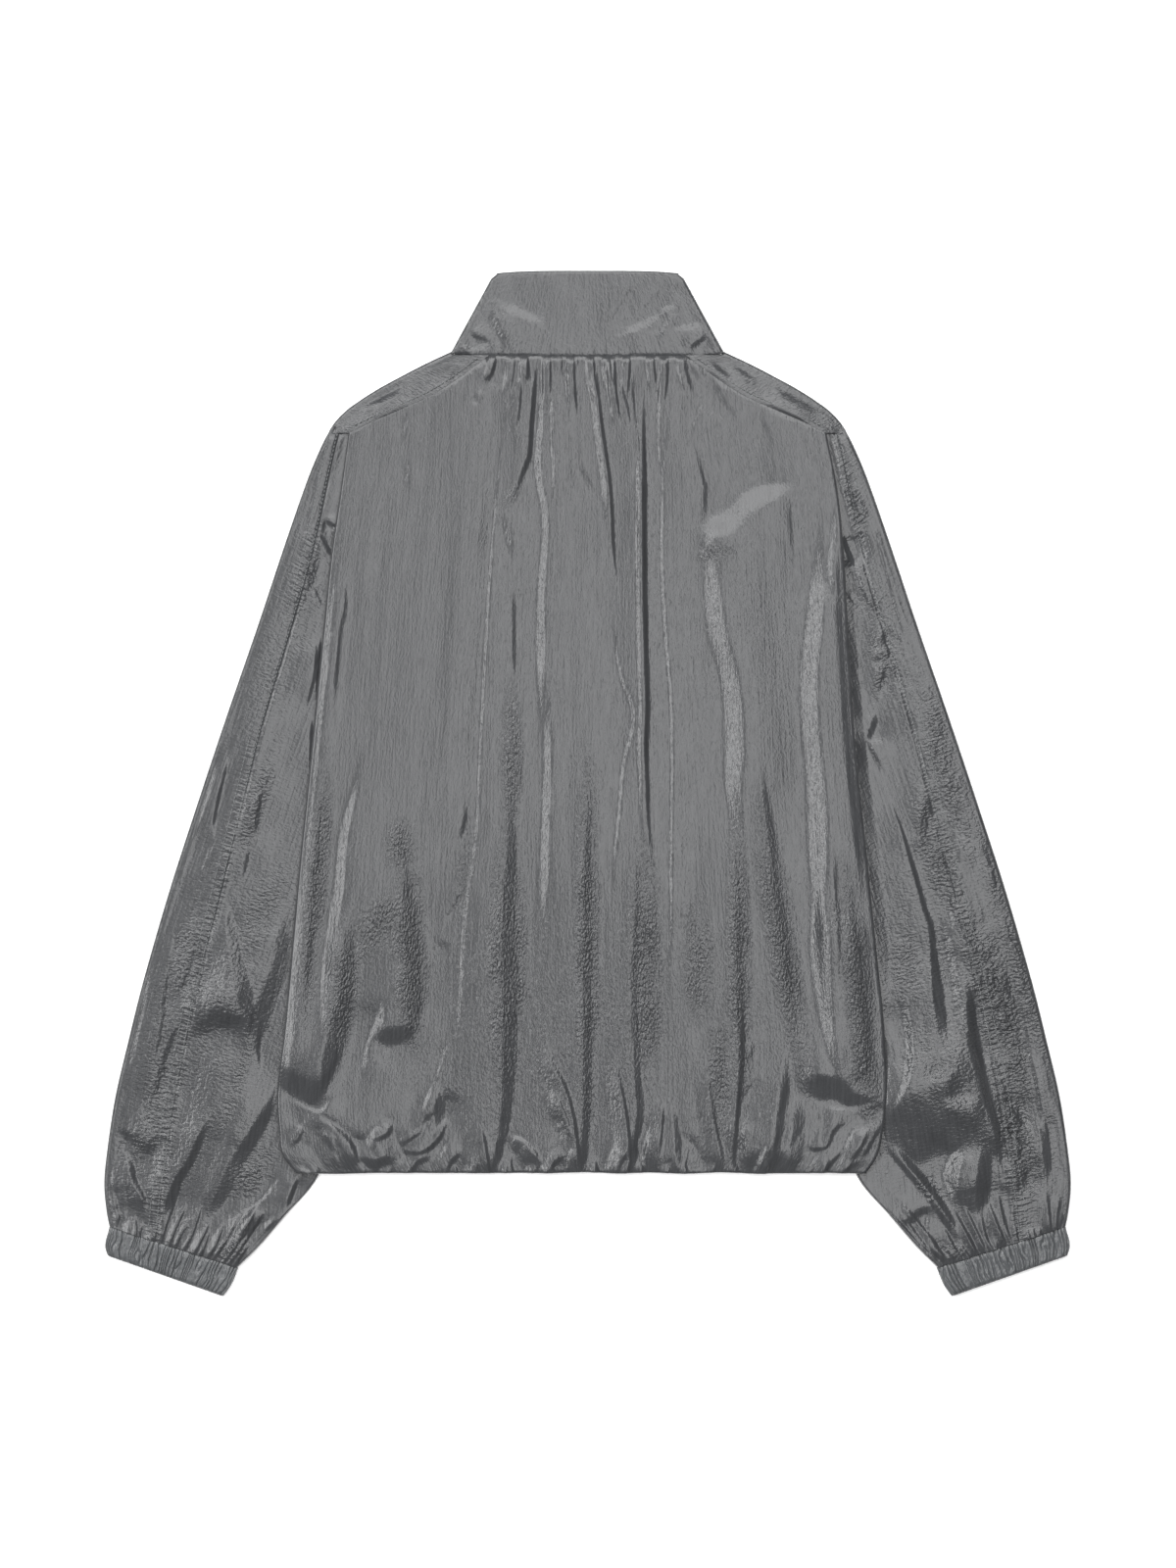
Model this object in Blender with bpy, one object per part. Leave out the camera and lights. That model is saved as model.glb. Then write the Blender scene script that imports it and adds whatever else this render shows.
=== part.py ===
"""A blouson jacket of thin nylon, laid flat on its front with the back up.

The frame is in metres: +X to the wearer's right, +Y to the collar, +Z up, with the origin on the
surface under the middle of the jacket.  Sizes below are in millimetres.  The two fronts and the lower
halves of the sleeves lie on the surface, the back panel lies over them, and its sides roll over the
sleeves and tuck in to the side seams.
"""

import math
from collections import namedtuple

import bpy
import numpy as np

MM = 0.001

# Cloth
WALL = 1.2  # thickness of every cloth wall
SEAM = 0.3  # gap between two pieces that are sewn together
SLACK = 0.5  # more gap where a curved seam is drawn with straight edges
FOLD_RADIUS = 3.0  # outer radius of a folded edge: collar sides, shoulders, sleeve edges
LAID = 2 * FOLD_RADIUS  # top of two layers that lie on each other
TUCKED = 3.8  # top of a sleeve where the body lies over it

# Body
HEM_Y = -318.8
NECK_Y = 349.1  # back neck seam at the middle
NECK_RISE = 2.4  # how much higher the neck seam is at its ends
COLLAR_FOOT = 112.0  # half width of the collar at the neck seam
SEAM_NECK_X = 80.0  # where a shoulder seam meets the neck seam, on the back
SHOULDER_TIP = (195.0, 286.0)  # where a shoulder seam meets the armhole, on the back
ARMPIT_Y = 25.0
FRONT_NECK_DROP = 48.0  # front neck seam below the back one, at the zip
EDGE_ROLL = 2.5  # outer radius of the back's rolled side
TIP_ROLL = 1.5  # the same at the shoulder tip
ARMHOLE_TUCK = 4.0  # how far the rolled side turns under above the armpit

# Collar
COLLAR_TOP_Y = 418.8
COLLAR_TOP = 77.0  # half width at the top edge
COLLAR_FRONT_HEIGHT = 74.0

# Zip
CHAIN = 7.2  # width of the closed zip between the fronts
CHAIN_THICK = 1.8
SLIDER_LONG = 9.0
SLIDER_THICK = 3.2

# Gathers
NECK_GATHERS = 24
NECK_GATHER_RISE = 2.0
NECK_GATHER_LONG = 95.0
HEM_GATHER_RISE = 2.6
HEM_GATHER_LONG = 62.0
HEM_DROP = 3.0  # how far the back dips to the fronts at the hem
OUTER_CUFF_GATHERS = 4
INNER_CUFF_GATHERS = 7
CUFF_GATHER_RISE = 1.8
CUFF_GATHER_LONG = 75.0
CUFF_RIBS = 26  # ribs on each face of an elastic cuff
CUFF_RIB_RISE = 0.8

NYLON = (0.185, 0.189, 0.195)
ELASTIC = (0.140, 0.145, 0.145)
ZIP_GREY = (0.110, 0.113, 0.115)

# The body's side edges as seen from above
Edge = namedtuple("Edge", "y left right")
BODY_EDGES = [
    Edge(-318.8, -237.0, 227.0),
    Edge(-305.0, -248.0, 236.0),
    Edge(-282.0, -252.0, 241.5),
    Edge(-262.0, -253.5, 244.0),
    Edge(-205.0, -248.0, 242.5),
    Edge(-128.0, -241.0, 235.0),
    Edge(-64.0, -235.0, 228.5),
    Edge(32.0, -225.0, 218.5),
    Edge(128.0, -215.5, 212.5),
    Edge(190.0, -209.0, 209.0),
    Edge(240.0, -201.5, 204.0),
    Edge(286.0, -195.0, 195.0),
]

# The shoulder's folded edge, from the neck to the armhole
Shoulder = namedtuple("Shoulder", "x y")
SHOULDER = [
    Shoulder(112.6, 351.0),
    Shoulder(134.8, 342.0),
    Shoulder(153.2, 332.4),
    Shoulder(170.8, 322.8),
    Shoulder(186.0, 313.2),
    Shoulder(198.8, 303.6),
    Shoulder(207.0, 294.8),
    Shoulder(211.4, 288.4),
]

# The shoulder seam on the back, from the neck seam to the armhole
SHOULDER_SEAM = [
    Shoulder(80.0, 349.7),
    Shoulder(90.0, 342.2),
    Shoulder(104.5, 331.5),
    Shoulder(124.5, 318.5),
    Shoulder(150.0, 306.5),
    Shoulder(175.0, 295.5),
    Shoulder(195.0, 286.0),
]

# Sections across a sleeve, from the shoulder to the cuff seam.  seam is the distance of the stitched
# seam from the outer edge, and tuck the width that the body lies over, from the inner edge.
Station = namedtuple("Station", "outer_x outer_y inner_x inner_y seam tuck")
SLEEVE = [
    Station(211.6, 287.0, 190.0, 280.0, 9.0, 12.0),
    Station(218.5, 273.5, 191.0, 258.0, 13.0, 15.0),
    Station(229.2, 247.6, 194.0, 222.0, 19.0, 18.0),
    Station(246.0, 199.6, 196.0, 170.0, 25.0, 22.0),
    Station(270.0, 127.6, 196.0, 96.0, 28.0, 30.0),
    Station(294.8, 55.6, 194.0, 25.0, 31.0, 40.0),
    Station(318.8, -16.4, 196.0, -50.0, 37.0, 46.0),
    Station(342.0, -88.4, 199.0, -125.0, 42.0, 50.0),
    Station(362.8, -160.4, 203.0, -200.0, 45.0, 53.0),
    Station(374.8, -208.4, 206.5, -250.0, 47.0, 55.0),
    Station(386.0, -256.4, 212.0, -293.0, 49.0, 50.0),
    Station(393.2, -304.4, 222.0, -324.0, 50.0, 30.0),
    Station(395.0, -328.4, 246.0, -352.4, 48.0, 8.0),
    Station(393.0, -350.0, 268.0, -378.0, 44.0, 4.0),
    Station(390.7, -361.6, 285.4, -395.2, 40.0, 4.0),
]
SLEEVE_SECTIONS = [0, 0.5, 1, 2, 3, 4, 4.6, 5.2, 6, 7, 8, 9, 10, 11, 12, 12.7, 13.4, 14]

# Sections across a cuff, from the sleeve to the wrist
Band = namedtuple("Band", "outer_x outer_y inner_x inner_y")
CUFF = [
    Band(390.6, -362.0, 285.2, -395.7),
    Band(393.8, -380.6, 293.6, -413.6),
    Band(392.0, -385.6, 297.6, -418.8),
]

# The back's largest folds: ridges that run from a point near the neck to a point near the hem
Fold = namedtuple("Fold", "top_x top_y low_x low_y width rise")
BACK_FOLDS = [
    Fold(-44.0, 335.0, -52.0, 150.0, 6.0, 1.8),
    Fold(-30.0, 320.0, -38.0, -230.0, 9.0, 2.0),
    Fold(2.0, 330.0, 14.0, -120.0, 8.0, 1.6),
    Fold(24.0, 335.0, 20.0, -290.0, 8.0, 1.8),
    Fold(64.0, 320.0, 72.0, -290.0, 9.0, 2.0),
    Fold(84.0, 270.0, 124.0, -240.0, 13.0, 2.6),
    Fold(190.0, 180.0, 196.0, -230.0, 14.0, 1.6),
    Fold(-176.0, 120.0, -196.0, -230.0, 12.0, 1.6),
    Fold(-120.0, -60.0, -146.0, -290.0, 14.0, 2.0),
    Fold(160.0, -80.0, 170.0, -270.0, 14.0, 2.2),
]
# The gathered middle of the back stands on two pleat edges
Pleat = namedtuple("Pleat", "top_x low_x")
LEFT_PLEAT = Pleat(-67.0, -110.0)
RIGHT_PLEAT = Pleat(42.0, 48.0)
PLEAT_RISE = 2.0
PLEAT_WIDTH = 6.0

# The collar's slanting creases, on its back
COLLAR_FOLDS = [
    Fold(40.0, 412.0, 18.0, 368.0, 5.0, 0.9),
    Fold(78.0, 404.0, 34.0, 362.0, 5.0, 0.9),
    Fold(-78.0, 392.0, -50.0, 362.0, 7.0, 0.8),
]

# A sleeve's largest folds, with x counted outward from the middle of the jacket
SLEEVE_FOLDS = {
    "right": [
        Fold(238.0, 170.0, 256.0, 20.0, 7.0, 1.2),
        Fold(236.0, 20.0, 294.0, -212.0, 9.0, 1.7),
        Fold(300.0, -205.0, 334.0, -330.0, 9.0, 1.6),
        Fold(262.0, -150.0, 300.0, -330.0, 10.0, 1.5),
        Fold(330.0, -60.0, 362.0, -230.0, 9.0, 1.3),
    ],
    "left": [
        Fold(226.0, 150.0, 250.0, 10.0, 7.0, 1.3),
        Fold(262.0, 30.0, 296.0, -150.0, 10.0, 1.5),
        Fold(272.0, -165.0, 300.0, -330.0, 11.0, 1.7),
        Fold(330.0, -40.0, 372.0, -240.0, 9.0, 1.2),
    ],
}


def smooth(t):
    """Goes from 0 to 1 with level ends."""
    t = np.clip(t, 0.0, 1.0)
    return t * t * (3.0 - 2.0 * t)


def curve(xs, ys, at):
    """A smooth line through the points (xs, ys), read at the places at.  xs rise."""
    xs, ys = np.asarray(xs, float), np.asarray(ys, float)
    at = np.clip(np.asarray(at, float), xs[0], xs[-1])
    slope = np.gradient(ys, xs)
    i = np.clip(np.searchsorted(xs, at) - 1, 0, len(xs) - 2)
    step = xs[i + 1] - xs[i]
    t = (at - xs[i]) / step
    start = (1 + 2 * t) * (1 - t) ** 2 * ys[i] + t * (1 - t) ** 2 * step * slope[i]
    end = t * t * (3 - 2 * t) * ys[i + 1] + t * t * (t - 1) * step * slope[i + 1]
    return start + end


def column(rows, name):
    return [getattr(row, name) for row in rows]


def body_edge(side, y):
    """X of the back's side edge; side is -1 for the left and 1 for the right."""
    name = "left" if side < 0 else "right"
    return curve(column(BODY_EDGES, "y"), column(BODY_EDGES, name), y)


def sleeve_inner_x(y):
    """X of a sleeve's inner edge, which is the armhole above the armpit and the fold below it."""
    rows = SLEEVE[::-1]
    return np.interp(y, column(rows, "inner_y"), column(rows, "inner_x"))


def neck_seam_y(x):
    return NECK_Y + NECK_RISE * (np.abs(x) / COLLAR_FOOT) ** 4


def fold_line(fold, y):
    """X of a fold's crest at the height y."""
    t = (fold.top_y - y) / (fold.top_y - fold.low_y)
    return fold.top_x + (fold.low_x - fold.top_x) * t


def ridges(folds, x, y):
    """Rise of the folds at a point, each fading out over its last sixth."""
    rise = np.zeros_like(np.asarray(x + y, float))
    for fold in folds:
        t = (fold.top_y - y) / (fold.top_y - fold.low_y)
        ends = smooth(6.0 * t) * smooth(6.0 * (1.0 - t))
        away = (x - fold_line(fold, y)) / fold.width
        rise = rise + fold.rise * ends * np.exp(-away * away)
    return rise


def material(name, colour, roughness):
    made = bpy.data.materials.get(name)
    if made is None:
        made = bpy.data.materials.new(name)
        made.use_nodes = True
        shader = made.node_tree.nodes["Principled BSDF"]
        shader.inputs["Base Color"].default_value = (*colour, 1.0)
        shader.inputs["Roughness"].default_value = roughness
        shader.inputs["Metallic"].default_value = 0.0
    return made


def nylon():
    return material("nylon", NYLON, 0.42)


def elastic():
    return material("elastic_nylon", ELASTIC, 0.5)


def zip_nylon():
    return material("zip_nylon", ZIP_GREY, 0.45)


def normals_of(points, closed):
    """Outward normals of a grid of points."""
    if closed:
        across = np.roll(points, -1, axis=1) - np.roll(points, 1, axis=1)
    else:
        across = np.gradient(points, axis=1)
    normals = np.cross(np.gradient(points, axis=0), across)
    return normals / np.linalg.norm(normals, axis=2, keepdims=True)


def cloth(name, outer, finish, inner=None, closed=False, cells=None):
    """A closed wall from a grid of outer points, rows by columns.

    The inner points are the outer ones moved in by WALL unless they are given.  closed joins the last
    column to the first.  cells marks the grid's cells that exist, and is all of them by default.
    """
    if inner is None:
        inner = outer - WALL * normals_of(outer, closed)
    rows, columns = outer.shape[:2]
    wide = columns if closed else columns - 1
    if cells is None:
        cells = np.ones((rows - 1, wide), bool)
    used, faces = {}, []

    def vertex(layer, i, j):
        return used.setdefault((layer, i, j % columns), len(used))

    def exists(i, j):
        if closed:
            j %= wide
        return 0 <= i < rows - 1 and 0 <= j < wide and cells[i, j]

    for i in range(rows - 1):
        for j in range(wide):
            if not exists(i, j):
                continue
            ring = [(i, j), (i + 1, j), (i + 1, j + 1), (i, j + 1)]
            beyond = [(i, j - 1), (i + 1, j), (i, j + 1), (i - 1, j)]
            faces.append([vertex(0, *corner) for corner in ring])
            faces.append([vertex(1, *corner) for corner in reversed(ring)])
            for k in range(4):
                if not exists(*beyond[k]):
                    a, b = ring[k], ring[(k + 1) % 4]
                    faces.append([vertex(0, *b), vertex(0, *a), vertex(1, *a), vertex(1, *b)])
    layers = (outer, inner)
    points = [tuple(layers[layer][i, j] * MM) for layer, i, j in used]
    mesh = bpy.data.meshes.new(name)
    mesh.from_pydata(points, [], faces)
    mesh.materials.append(finish)
    mesh.shade_smooth()
    mesh.set_sharp_from_angle(angle=math.radians(50))
    made = bpy.data.objects.new(name, mesh)
    bpy.context.scene.collection.objects.link(made)
    return made


def mirrored(points):
    """The same grid on the other side, with its columns turned round so that it still faces out."""
    return (points * np.array([-1.0, 1.0, 1.0]))[:, ::-1]


def back_columns():
    """Where each column of the back starts at the top and ends at the hem, as (x, y) and a share."""
    shoulder_steps = 7
    neck = np.linspace(-SEAM_NECK_X, SEAM_NECK_X, 2 * NECK_GATHERS + 1)
    tip_x = SHOULDER_TIP[0]
    outward = np.linspace(tip_x - TIP_ROLL, SEAM_NECK_X, shoulder_steps, endpoint=False)
    shoulder_y = shoulder_seam_y(outward)
    top_x = np.concatenate([-outward, neck, outward[::-1]])
    top_y = np.concatenate([shoulder_y, neck_seam_y(neck), shoulder_y[::-1]]) - SEAM
    share = np.linspace(0.0, 1.0, len(top_x))
    gathered = np.zeros(len(top_x))
    gathered[shoulder_steps + 1 : shoulder_steps + 2 * NECK_GATHERS : 2] = 1.0
    return top_x, top_y, share, gathered


def back_height(x, y, roll):
    """Top of the back panel, without its gathers; roll is the radius of its rolled sides."""
    inner = sleeve_inner_x(y)
    side_top = TUCKED + SEAM + 2.0 * roll
    over_sleeve = smooth((np.abs(x) - inner + 18.0) / 24.0)
    base = LAID + (side_top - LAID) * over_sleeve
    t = np.clip((NECK_Y - y) / (NECK_Y - HEM_Y), 0.0, 1.0)
    left = LEFT_PLEAT.top_x + (LEFT_PLEAT.low_x - LEFT_PLEAT.top_x) * t
    right = RIGHT_PLEAT.top_x + (RIGHT_PLEAT.low_x - RIGHT_PLEAT.top_x) * t
    middle = smooth((x - left) / PLEAT_WIDTH) * smooth((right - x) / PLEAT_WIDTH)
    from_neck = smooth((NECK_Y - y) / 25.0)
    rise = (PLEAT_RISE * middle + ridges(BACK_FOLDS, x, y)) * from_neck * (1.0 - over_sleeve)
    dip = HEM_DROP * smooth((HEM_Y + 16.0 - y) / 16.0) * (1.0 - over_sleeve)
    return base + rise - dip


def back():
    """The back panel: gathered at the neck seam and the hem, with rolled sides tucked to the side seams."""
    top_x, top_y, share, gathered = back_columns()
    drops = [0, 0.02, 0.05, 0.09, 0.15, 0.23, 0.31, 0.385, 0.46, 0.55, 0.64, 0.73, 0.81]
    drops += [0.87, 0.92, 0.955, 0.98, 1.0]
    rows = []
    for drop in drops:
        y = top_y + (HEM_Y - top_y) * drop
        roll = TIP_ROLL + (EDGE_ROLL - TIP_ROLL) * smooth((SHOULDER_TIP[1] - y) / 90.0)
        left, right = body_edge(-1, y) + roll, body_edge(1, y) - roll
        top_share = (top_x + SHOULDER_TIP[0] - TIP_ROLL) / (2.0 * (SHOULDER_TIP[0] - TIP_ROLL))
        x = left + (right - left) * (top_share + (share - top_share) * smooth(1.15 * drop))
        x = np.where(drop == 0.0, top_x, x)
        z = back_height(x, y, roll)
        uneven = 0.7 + 0.3 * np.sin(1.7 * np.arange(len(x)))
        neck_gather = NECK_GATHER_RISE * (1.0 - smooth((NECK_Y - y) / NECK_GATHER_LONG))
        hem_gather = HEM_GATHER_RISE * smooth((HEM_Y + HEM_GATHER_LONG - y) / HEM_GATHER_LONG)
        z = z + gathered * uneven * (neck_gather + hem_gather)
        main = np.stack([x, y, z], axis=1)
        left_roll, right_roll = rolled_side(-1, main[0], roll[0]), rolled_side(1, main[-1], roll[-1])
        rows.append(np.concatenate([left_roll[::-1], main, right_roll]))
    return cloth("back", np.array(rows), nylon())


def rolled_side(side, start, roll):
    """The back's points past its last column: round the rolled side, under it and to the side seam."""
    x, y, z = start
    points = []
    for degrees in (45.0, 0.0, -45.0, -90.0):
        angle = math.radians(degrees)
        points.append((x + side * roll * math.cos(angle), y, z - roll + roll * math.sin(angle)))
    low = z - 2.0 * roll
    closing = float(smooth((ARMPIT_Y + 25.0 - y) / 40.0))
    seam_x = sleeve_inner_x(y) - SEAM - SLACK
    full = abs(x) - seam_x - 1.0
    under = ARMHOLE_TUCK + (full - ARMHOLE_TUCK) * float(smooth((ARMPIT_Y + 70.0 - y) / 40.0))
    points.append((x - side * 0.5 * under, y, low))
    points.append((x - side * under, y, low))
    turn_down = (low - SEAM) * math.sin(math.radians(90.0 * closing))
    for share, across in ((0.4, 0.6 + 0.4 * closing), (1.0, 1.0)):
        points.append((x - side * (under + across), y, low - turn_down * share))
    return np.array(points)


def shoulder_fold(g):
    """The shoulder's folded edge at the share g from the neck to the armhole, and the way out of it."""
    xs, ys = column(SHOULDER, "x"), column(SHOULDER, "y")
    x = xs[0] + (xs[-1] - xs[0]) * g
    y = float(curve(xs, ys, x))
    ahead, behind = min(x + 1.0, xs[-1]), max(x - 1.0, xs[0])
    slope = float(curve(xs, ys, ahead) - curve(xs, ys, behind)) / (ahead - behind)
    out = np.array([-slope, 1.0]) / math.hypot(slope, 1.0)
    return np.array([x, y]), out


def shoulder_seam_y(x):
    return curve(column(SHOULDER_SEAM, "x"), column(SHOULDER_SEAM, "y"), x)


def front_neck_y(x):
    """The front neck seam: low at the zip, and meeting the back one at the sides."""
    t = np.abs(x) / COLLAR_FOOT
    return neck_seam_y(COLLAR_FOOT) - FRONT_NECK_DROP * (1.0 - t * t)


def front_points():
    """The right front: flat on the surface, and folded over the shoulder to the seam on the back."""
    neck_steps, shoulder_steps = 5, 6
    drops = (0.0, 0.02, 0.045, 0.08, 0.15, 0.26, 0.38, 0.47, 0.54, 0.62, 0.74, 0.87, 0.95, 0.992, 1.0)
    flat_steps = len(drops) - 1
    zip_x = 0.5 * CHAIN + SEAM
    fold_degrees = (-45.0, 0.0, 45.0, 90.0)
    grid = []
    tops, over = [], []
    for k in range(neck_steps):
        x = zip_x + (COLLAR_FOOT - 3.0 - zip_x) * k / neck_steps
        tops.append((x, front_neck_y(x) - SEAM))
        over.append(None)
    tip_x = SHOULDER_TIP[0]
    for k in range(shoulder_steps + 1):
        g = k / shoulder_steps
        edge, out = shoulder_fold(g)
        start = edge - FOLD_RADIUS * out
        tops.append(tuple(start))
        seam_x = SEAM_NECK_X + SEAM + (tip_x - SEAM_NECK_X) * g
        seam_y = float(shoulder_seam_y(seam_x)) - SEAM * (1.0 - g) + 0.2 + 0.6 * g
        rounds = []
        for degrees in fold_degrees:
            angle = math.radians(degrees)
            place = start + FOLD_RADIUS * math.cos(angle) * out
            rounds.append((place[0], place[1], FOLD_RADIUS * (1.0 + math.sin(angle))))
        seam = np.array([seam_x, seam_y, LAID])
        for share in (0.5, 1.0):
            rounds.append(tuple(np.array(rounds[3]) * (1.0 - share) + seam * share))
        over.append(rounds)
    lateral_gap = SEAM + SLACK
    columns = len(tops)
    for i, drop in enumerate(drops):
        row = []
        for j, (top_x, top_y) in enumerate(tops):
            y = HEM_Y + 1.0 + (top_y - HEM_Y - 1.0) * drop
            tucked = (WALL + SEAM + SLACK) * float(smooth((ARMPIT_Y + 35.0 - y) / 30.0))
            edge_x = float(sleeve_inner_x(y)) - lateral_gap - tucked
            share = j / (columns - 1)
            straight = zip_x + (edge_x - zip_x) * share
            x = straight + (top_x - straight) * float(smooth((drop - 0.45) / 0.55)) if i else straight
            if j == columns - 1 and i < flat_steps:
                x = edge_x
            if y < SHOULDER_TIP[1] - 2.0:
                x = min(x, edge_x - 1.2 * (columns - 1 - j))
            row.append((x, y, 0.0))
        grid.append(row)
    for k in range(len(fold_degrees) + 2):
        grid.append([rounds[k] if rounds else (top[0], top[1], 0.0) for top, rounds in zip(tops, over)])
    points = np.array(grid)
    cells = np.ones((len(grid) - 1, columns - 1), bool)
    cells[flat_steps:, :neck_steps] = False
    return points, cells


def fronts():
    """The two fronts.  The grid runs from hem to shoulder, so its outer face is the one on the surface."""
    points, cells = front_points()
    inner = front_inner(points)
    cloth("front_right", points, nylon(), inner=inner, cells=cells)
    cloth("front_left", mirrored(points), nylon(), inner=mirrored(inner), cells=cells[:, ::-1])


def front_inner(points):
    """The inner face of a front: up from the flat part, and towards the inside of the shoulder's fold."""
    inner = points.copy()
    flat = points[:, :, 2] == 0.0
    inner[flat, 2] = WALL
    folded = ~flat
    rows, columns = np.nonzero(folded)
    for i, j in zip(rows, columns):
        last_flat = points[np.flatnonzero(flat[:, j])[-1], j]
        centre = last_flat + np.array([0.0, 0.0, FOLD_RADIUS])
        away = points[i, j] - centre
        if abs(points[i, j, 2] - LAID) < 1e-6:
            inner[i, j, 2] = LAID - WALL
        else:
            inner[i, j] = centre + away * (1.0 - WALL / FOLD_RADIUS)
    return inner


def collar():
    """The stand collar: one band from the zip round the neck and back, flattened with its back up."""
    front_shares = np.linspace(0.0, 1.0, 6)
    back_shares = np.linspace(-1.0, 1.0, 19)
    zip_x = 0.5 * CHAIN + SEAM
    rows = []
    for v in np.linspace(0.0, 1.0, 6):
        foot_half, top_half = COLLAR_FOOT - FOLD_RADIUS, COLLAR_TOP - FOLD_RADIUS
        half = foot_half + (top_half - foot_half) * v
        if v == 1.0:
            half -= 1.5
        foot_side = float(neck_seam_y(COLLAR_FOOT))
        top_side = COLLAR_TOP_Y - 2.5
        front = []
        for share in front_shares:
            x = zip_x + (half - zip_x) * share
            foot_x = zip_x + (foot_half - zip_x) * share
            foot = float(front_neck_y(foot_x)) if share < 1.0 else foot_side
            top_zip = foot_side - FRONT_NECK_DROP + COLLAR_FRONT_HEIGHT
            top = top_zip + (top_side - top_zip) * share * share
            front.append((x, foot + (top - foot) * v, 0.0))
        side_y = foot_side + (top_side - foot_side) * v
        side = []
        for degrees in (-45.0, 0.0, 45.0):
            angle = math.radians(degrees)
            out = half + FOLD_RADIUS * math.cos(angle)
            side.append((out, side_y, FOLD_RADIUS * (1.0 + math.sin(angle))))
        upper = []
        for share in back_shares:
            x = half * share
            foot = float(neck_seam_y(x))
            top = COLLAR_TOP_Y - 2.5 * share**4
            y = foot + (top - foot) * v
            upper.append((x, y, LAID + float(ridges(COLLAR_FOLDS, x, y))))
        right = np.array(front + side)
        left = right * np.array([-1.0, 1.0, 1.0])
        rows.append(np.concatenate([left, np.array(upper), right[::-1]]))
    points = np.array(rows)[::-1]
    return cloth("collar", points, nylon())


def station(place):
    """A sleeve's section at a place along its table, read smoothly between the rows."""
    index = np.arange(len(SLEEVE))
    return Station(*(float(curve(index, column(SLEEVE, name), place)) for name in Station._fields))


def sleeve_height(a, width, tuck):
    """Top of a sleeve at the distance a from its outer edge."""
    ramp = max(4.0, min(20.0, width - tuck - 2.0))
    return TUCKED + (LAID - TUCKED) * smooth((width - a - tuck) / ramp)


def cuff_gather(place):
    """How high the gathers stand at a place along the sleeve."""
    here, end = station(place), station(len(SLEEVE) - 1)
    away = math.hypot(here.outer_x - end.outer_x, here.outer_y - end.outer_y)
    away = 0.5 * (away + math.hypot(here.inner_x - end.inner_x, here.inner_y - end.inner_y))
    return CUFF_GATHER_RISE * float(1.0 - smooth(away / CUFF_GATHER_LONG))


def sleeve_grids(folds):
    """The outer points of the right sleeve's two pieces: outer, with the under side, and inner."""
    outer_rows, inner_rows = [], []
    for place in SLEEVE_SECTIONS:
        here = station(place)
        start = np.array([here.outer_x, here.outer_y])
        across = np.array([here.inner_x, here.inner_y]) - start
        width = float(np.linalg.norm(across))
        across /= width
        rise = cuff_gather(place)

        def at(a, z):
            return (*(start + across * a), z)

        def top_at(a, gather):
            x, y = start + across * a
            clear = float(smooth((width - a - here.tuck) / 12.0))
            fold = float(ridges(folds, x, y)) * clear
            return (x, y, float(sleeve_height(a, width, here.tuck)) + max(fold, rise * gather))

        radius = 0.5 * float(sleeve_height(0.0, width, here.tuck))
        top = np.linspace(here.seam - 0.5 * SEAM, radius, 2 * OUTER_CUFF_GATHERS + 1)
        row = [top_at(a, k % 2) for k, a in enumerate(top)]
        row[-1] = at(radius, 2.0 * radius)
        for degrees in (45.0, 0.0, -45.0):
            angle = math.radians(degrees)
            row.append(at(radius - radius * math.cos(angle), radius + radius * math.sin(angle)))
        for a in np.linspace(radius, width, 7):
            row.append(at(a, 0.0))
        outer_rows.append(row)

        corner = 1.5
        closing = float(smooth((place - 4.6) / 0.6))
        top = np.linspace(here.seam + 0.5 * SEAM, width - corner, 2 * INNER_CUFF_GATHERS + 1)
        row = [top_at(a, k % 2) for k, a in enumerate(top)]
        low = row[-1][2]
        foot = WALL + SEAM
        for share, open_a, closed_a, closed_z in (
            (0.4, width - 1.0, width - 0.45, low - 0.45),
            (0.7, width - 0.5, width, low - corner),
            (1.0, width, width, foot),
        ):
            a = open_a + (closed_a - open_a) * closing
            row.append(at(a, low + (closed_z - low) * closing))
        inner_rows.append(row)
    return np.array(outer_rows), np.array(inner_rows)


def sleeves():
    """Both sleeves, each an outer piece that runs under the arm and an inner piece, sewn on two seams."""
    for side, folds in SLEEVE_FOLDS.items():
        outer, inner = sleeve_grids(folds)
        for name, points in (("sleeve_outer_", outer), ("sleeve_inner_", inner[:, ::-1])):
            cloth(name + side, points if side == "right" else mirrored(points), nylon())


def cuff_points():
    """The right cuff's ribbed outer points and its plain inner ones, as rings."""
    outer_rings, inner_rings = [], []
    around = 4 * CUFF_RIBS
    for band in CUFF:
        outer_end = np.array([band.outer_x, band.outer_y])
        across = np.array([band.inner_x, band.inner_y]) - outer_end
        width = float(np.linalg.norm(across))
        across /= width
        radius = FOLD_RADIUS
        outer_ring, inner_ring = [], []
        for k in range(around):
            turn = k / (2 * CUFF_RIBS)
            face, share = (1.0, turn) if turn < 1.0 else (-1.0, 2.0 - turn)
            a = width * share
            end = min(a, width - a)
            half = radius if end >= radius else math.sqrt(max(0.0, radius**2 - (radius - end) ** 2))
            depth = CUFF_RIB_RISE * (k % 2)
            place = outer_end + across * a
            outer_ring.append((*place, radius + face * max(0.0, half - depth)))
            inside = WALL + CUFF_RIB_RISE
            a_in = min(max(a, inside), width - inside)
            place = outer_end + across * a_in
            end = min(a_in, width - a_in)
            half = radius if end >= radius else math.sqrt(max(0.0, radius**2 - (radius - end) ** 2))
            inner_ring.append((*place, radius + face * max(0.15, half - inside)))
        outer_rings.append(outer_ring)
        inner_rings.append(inner_ring)
    return np.array(outer_rings), np.array(inner_rings)


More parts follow.
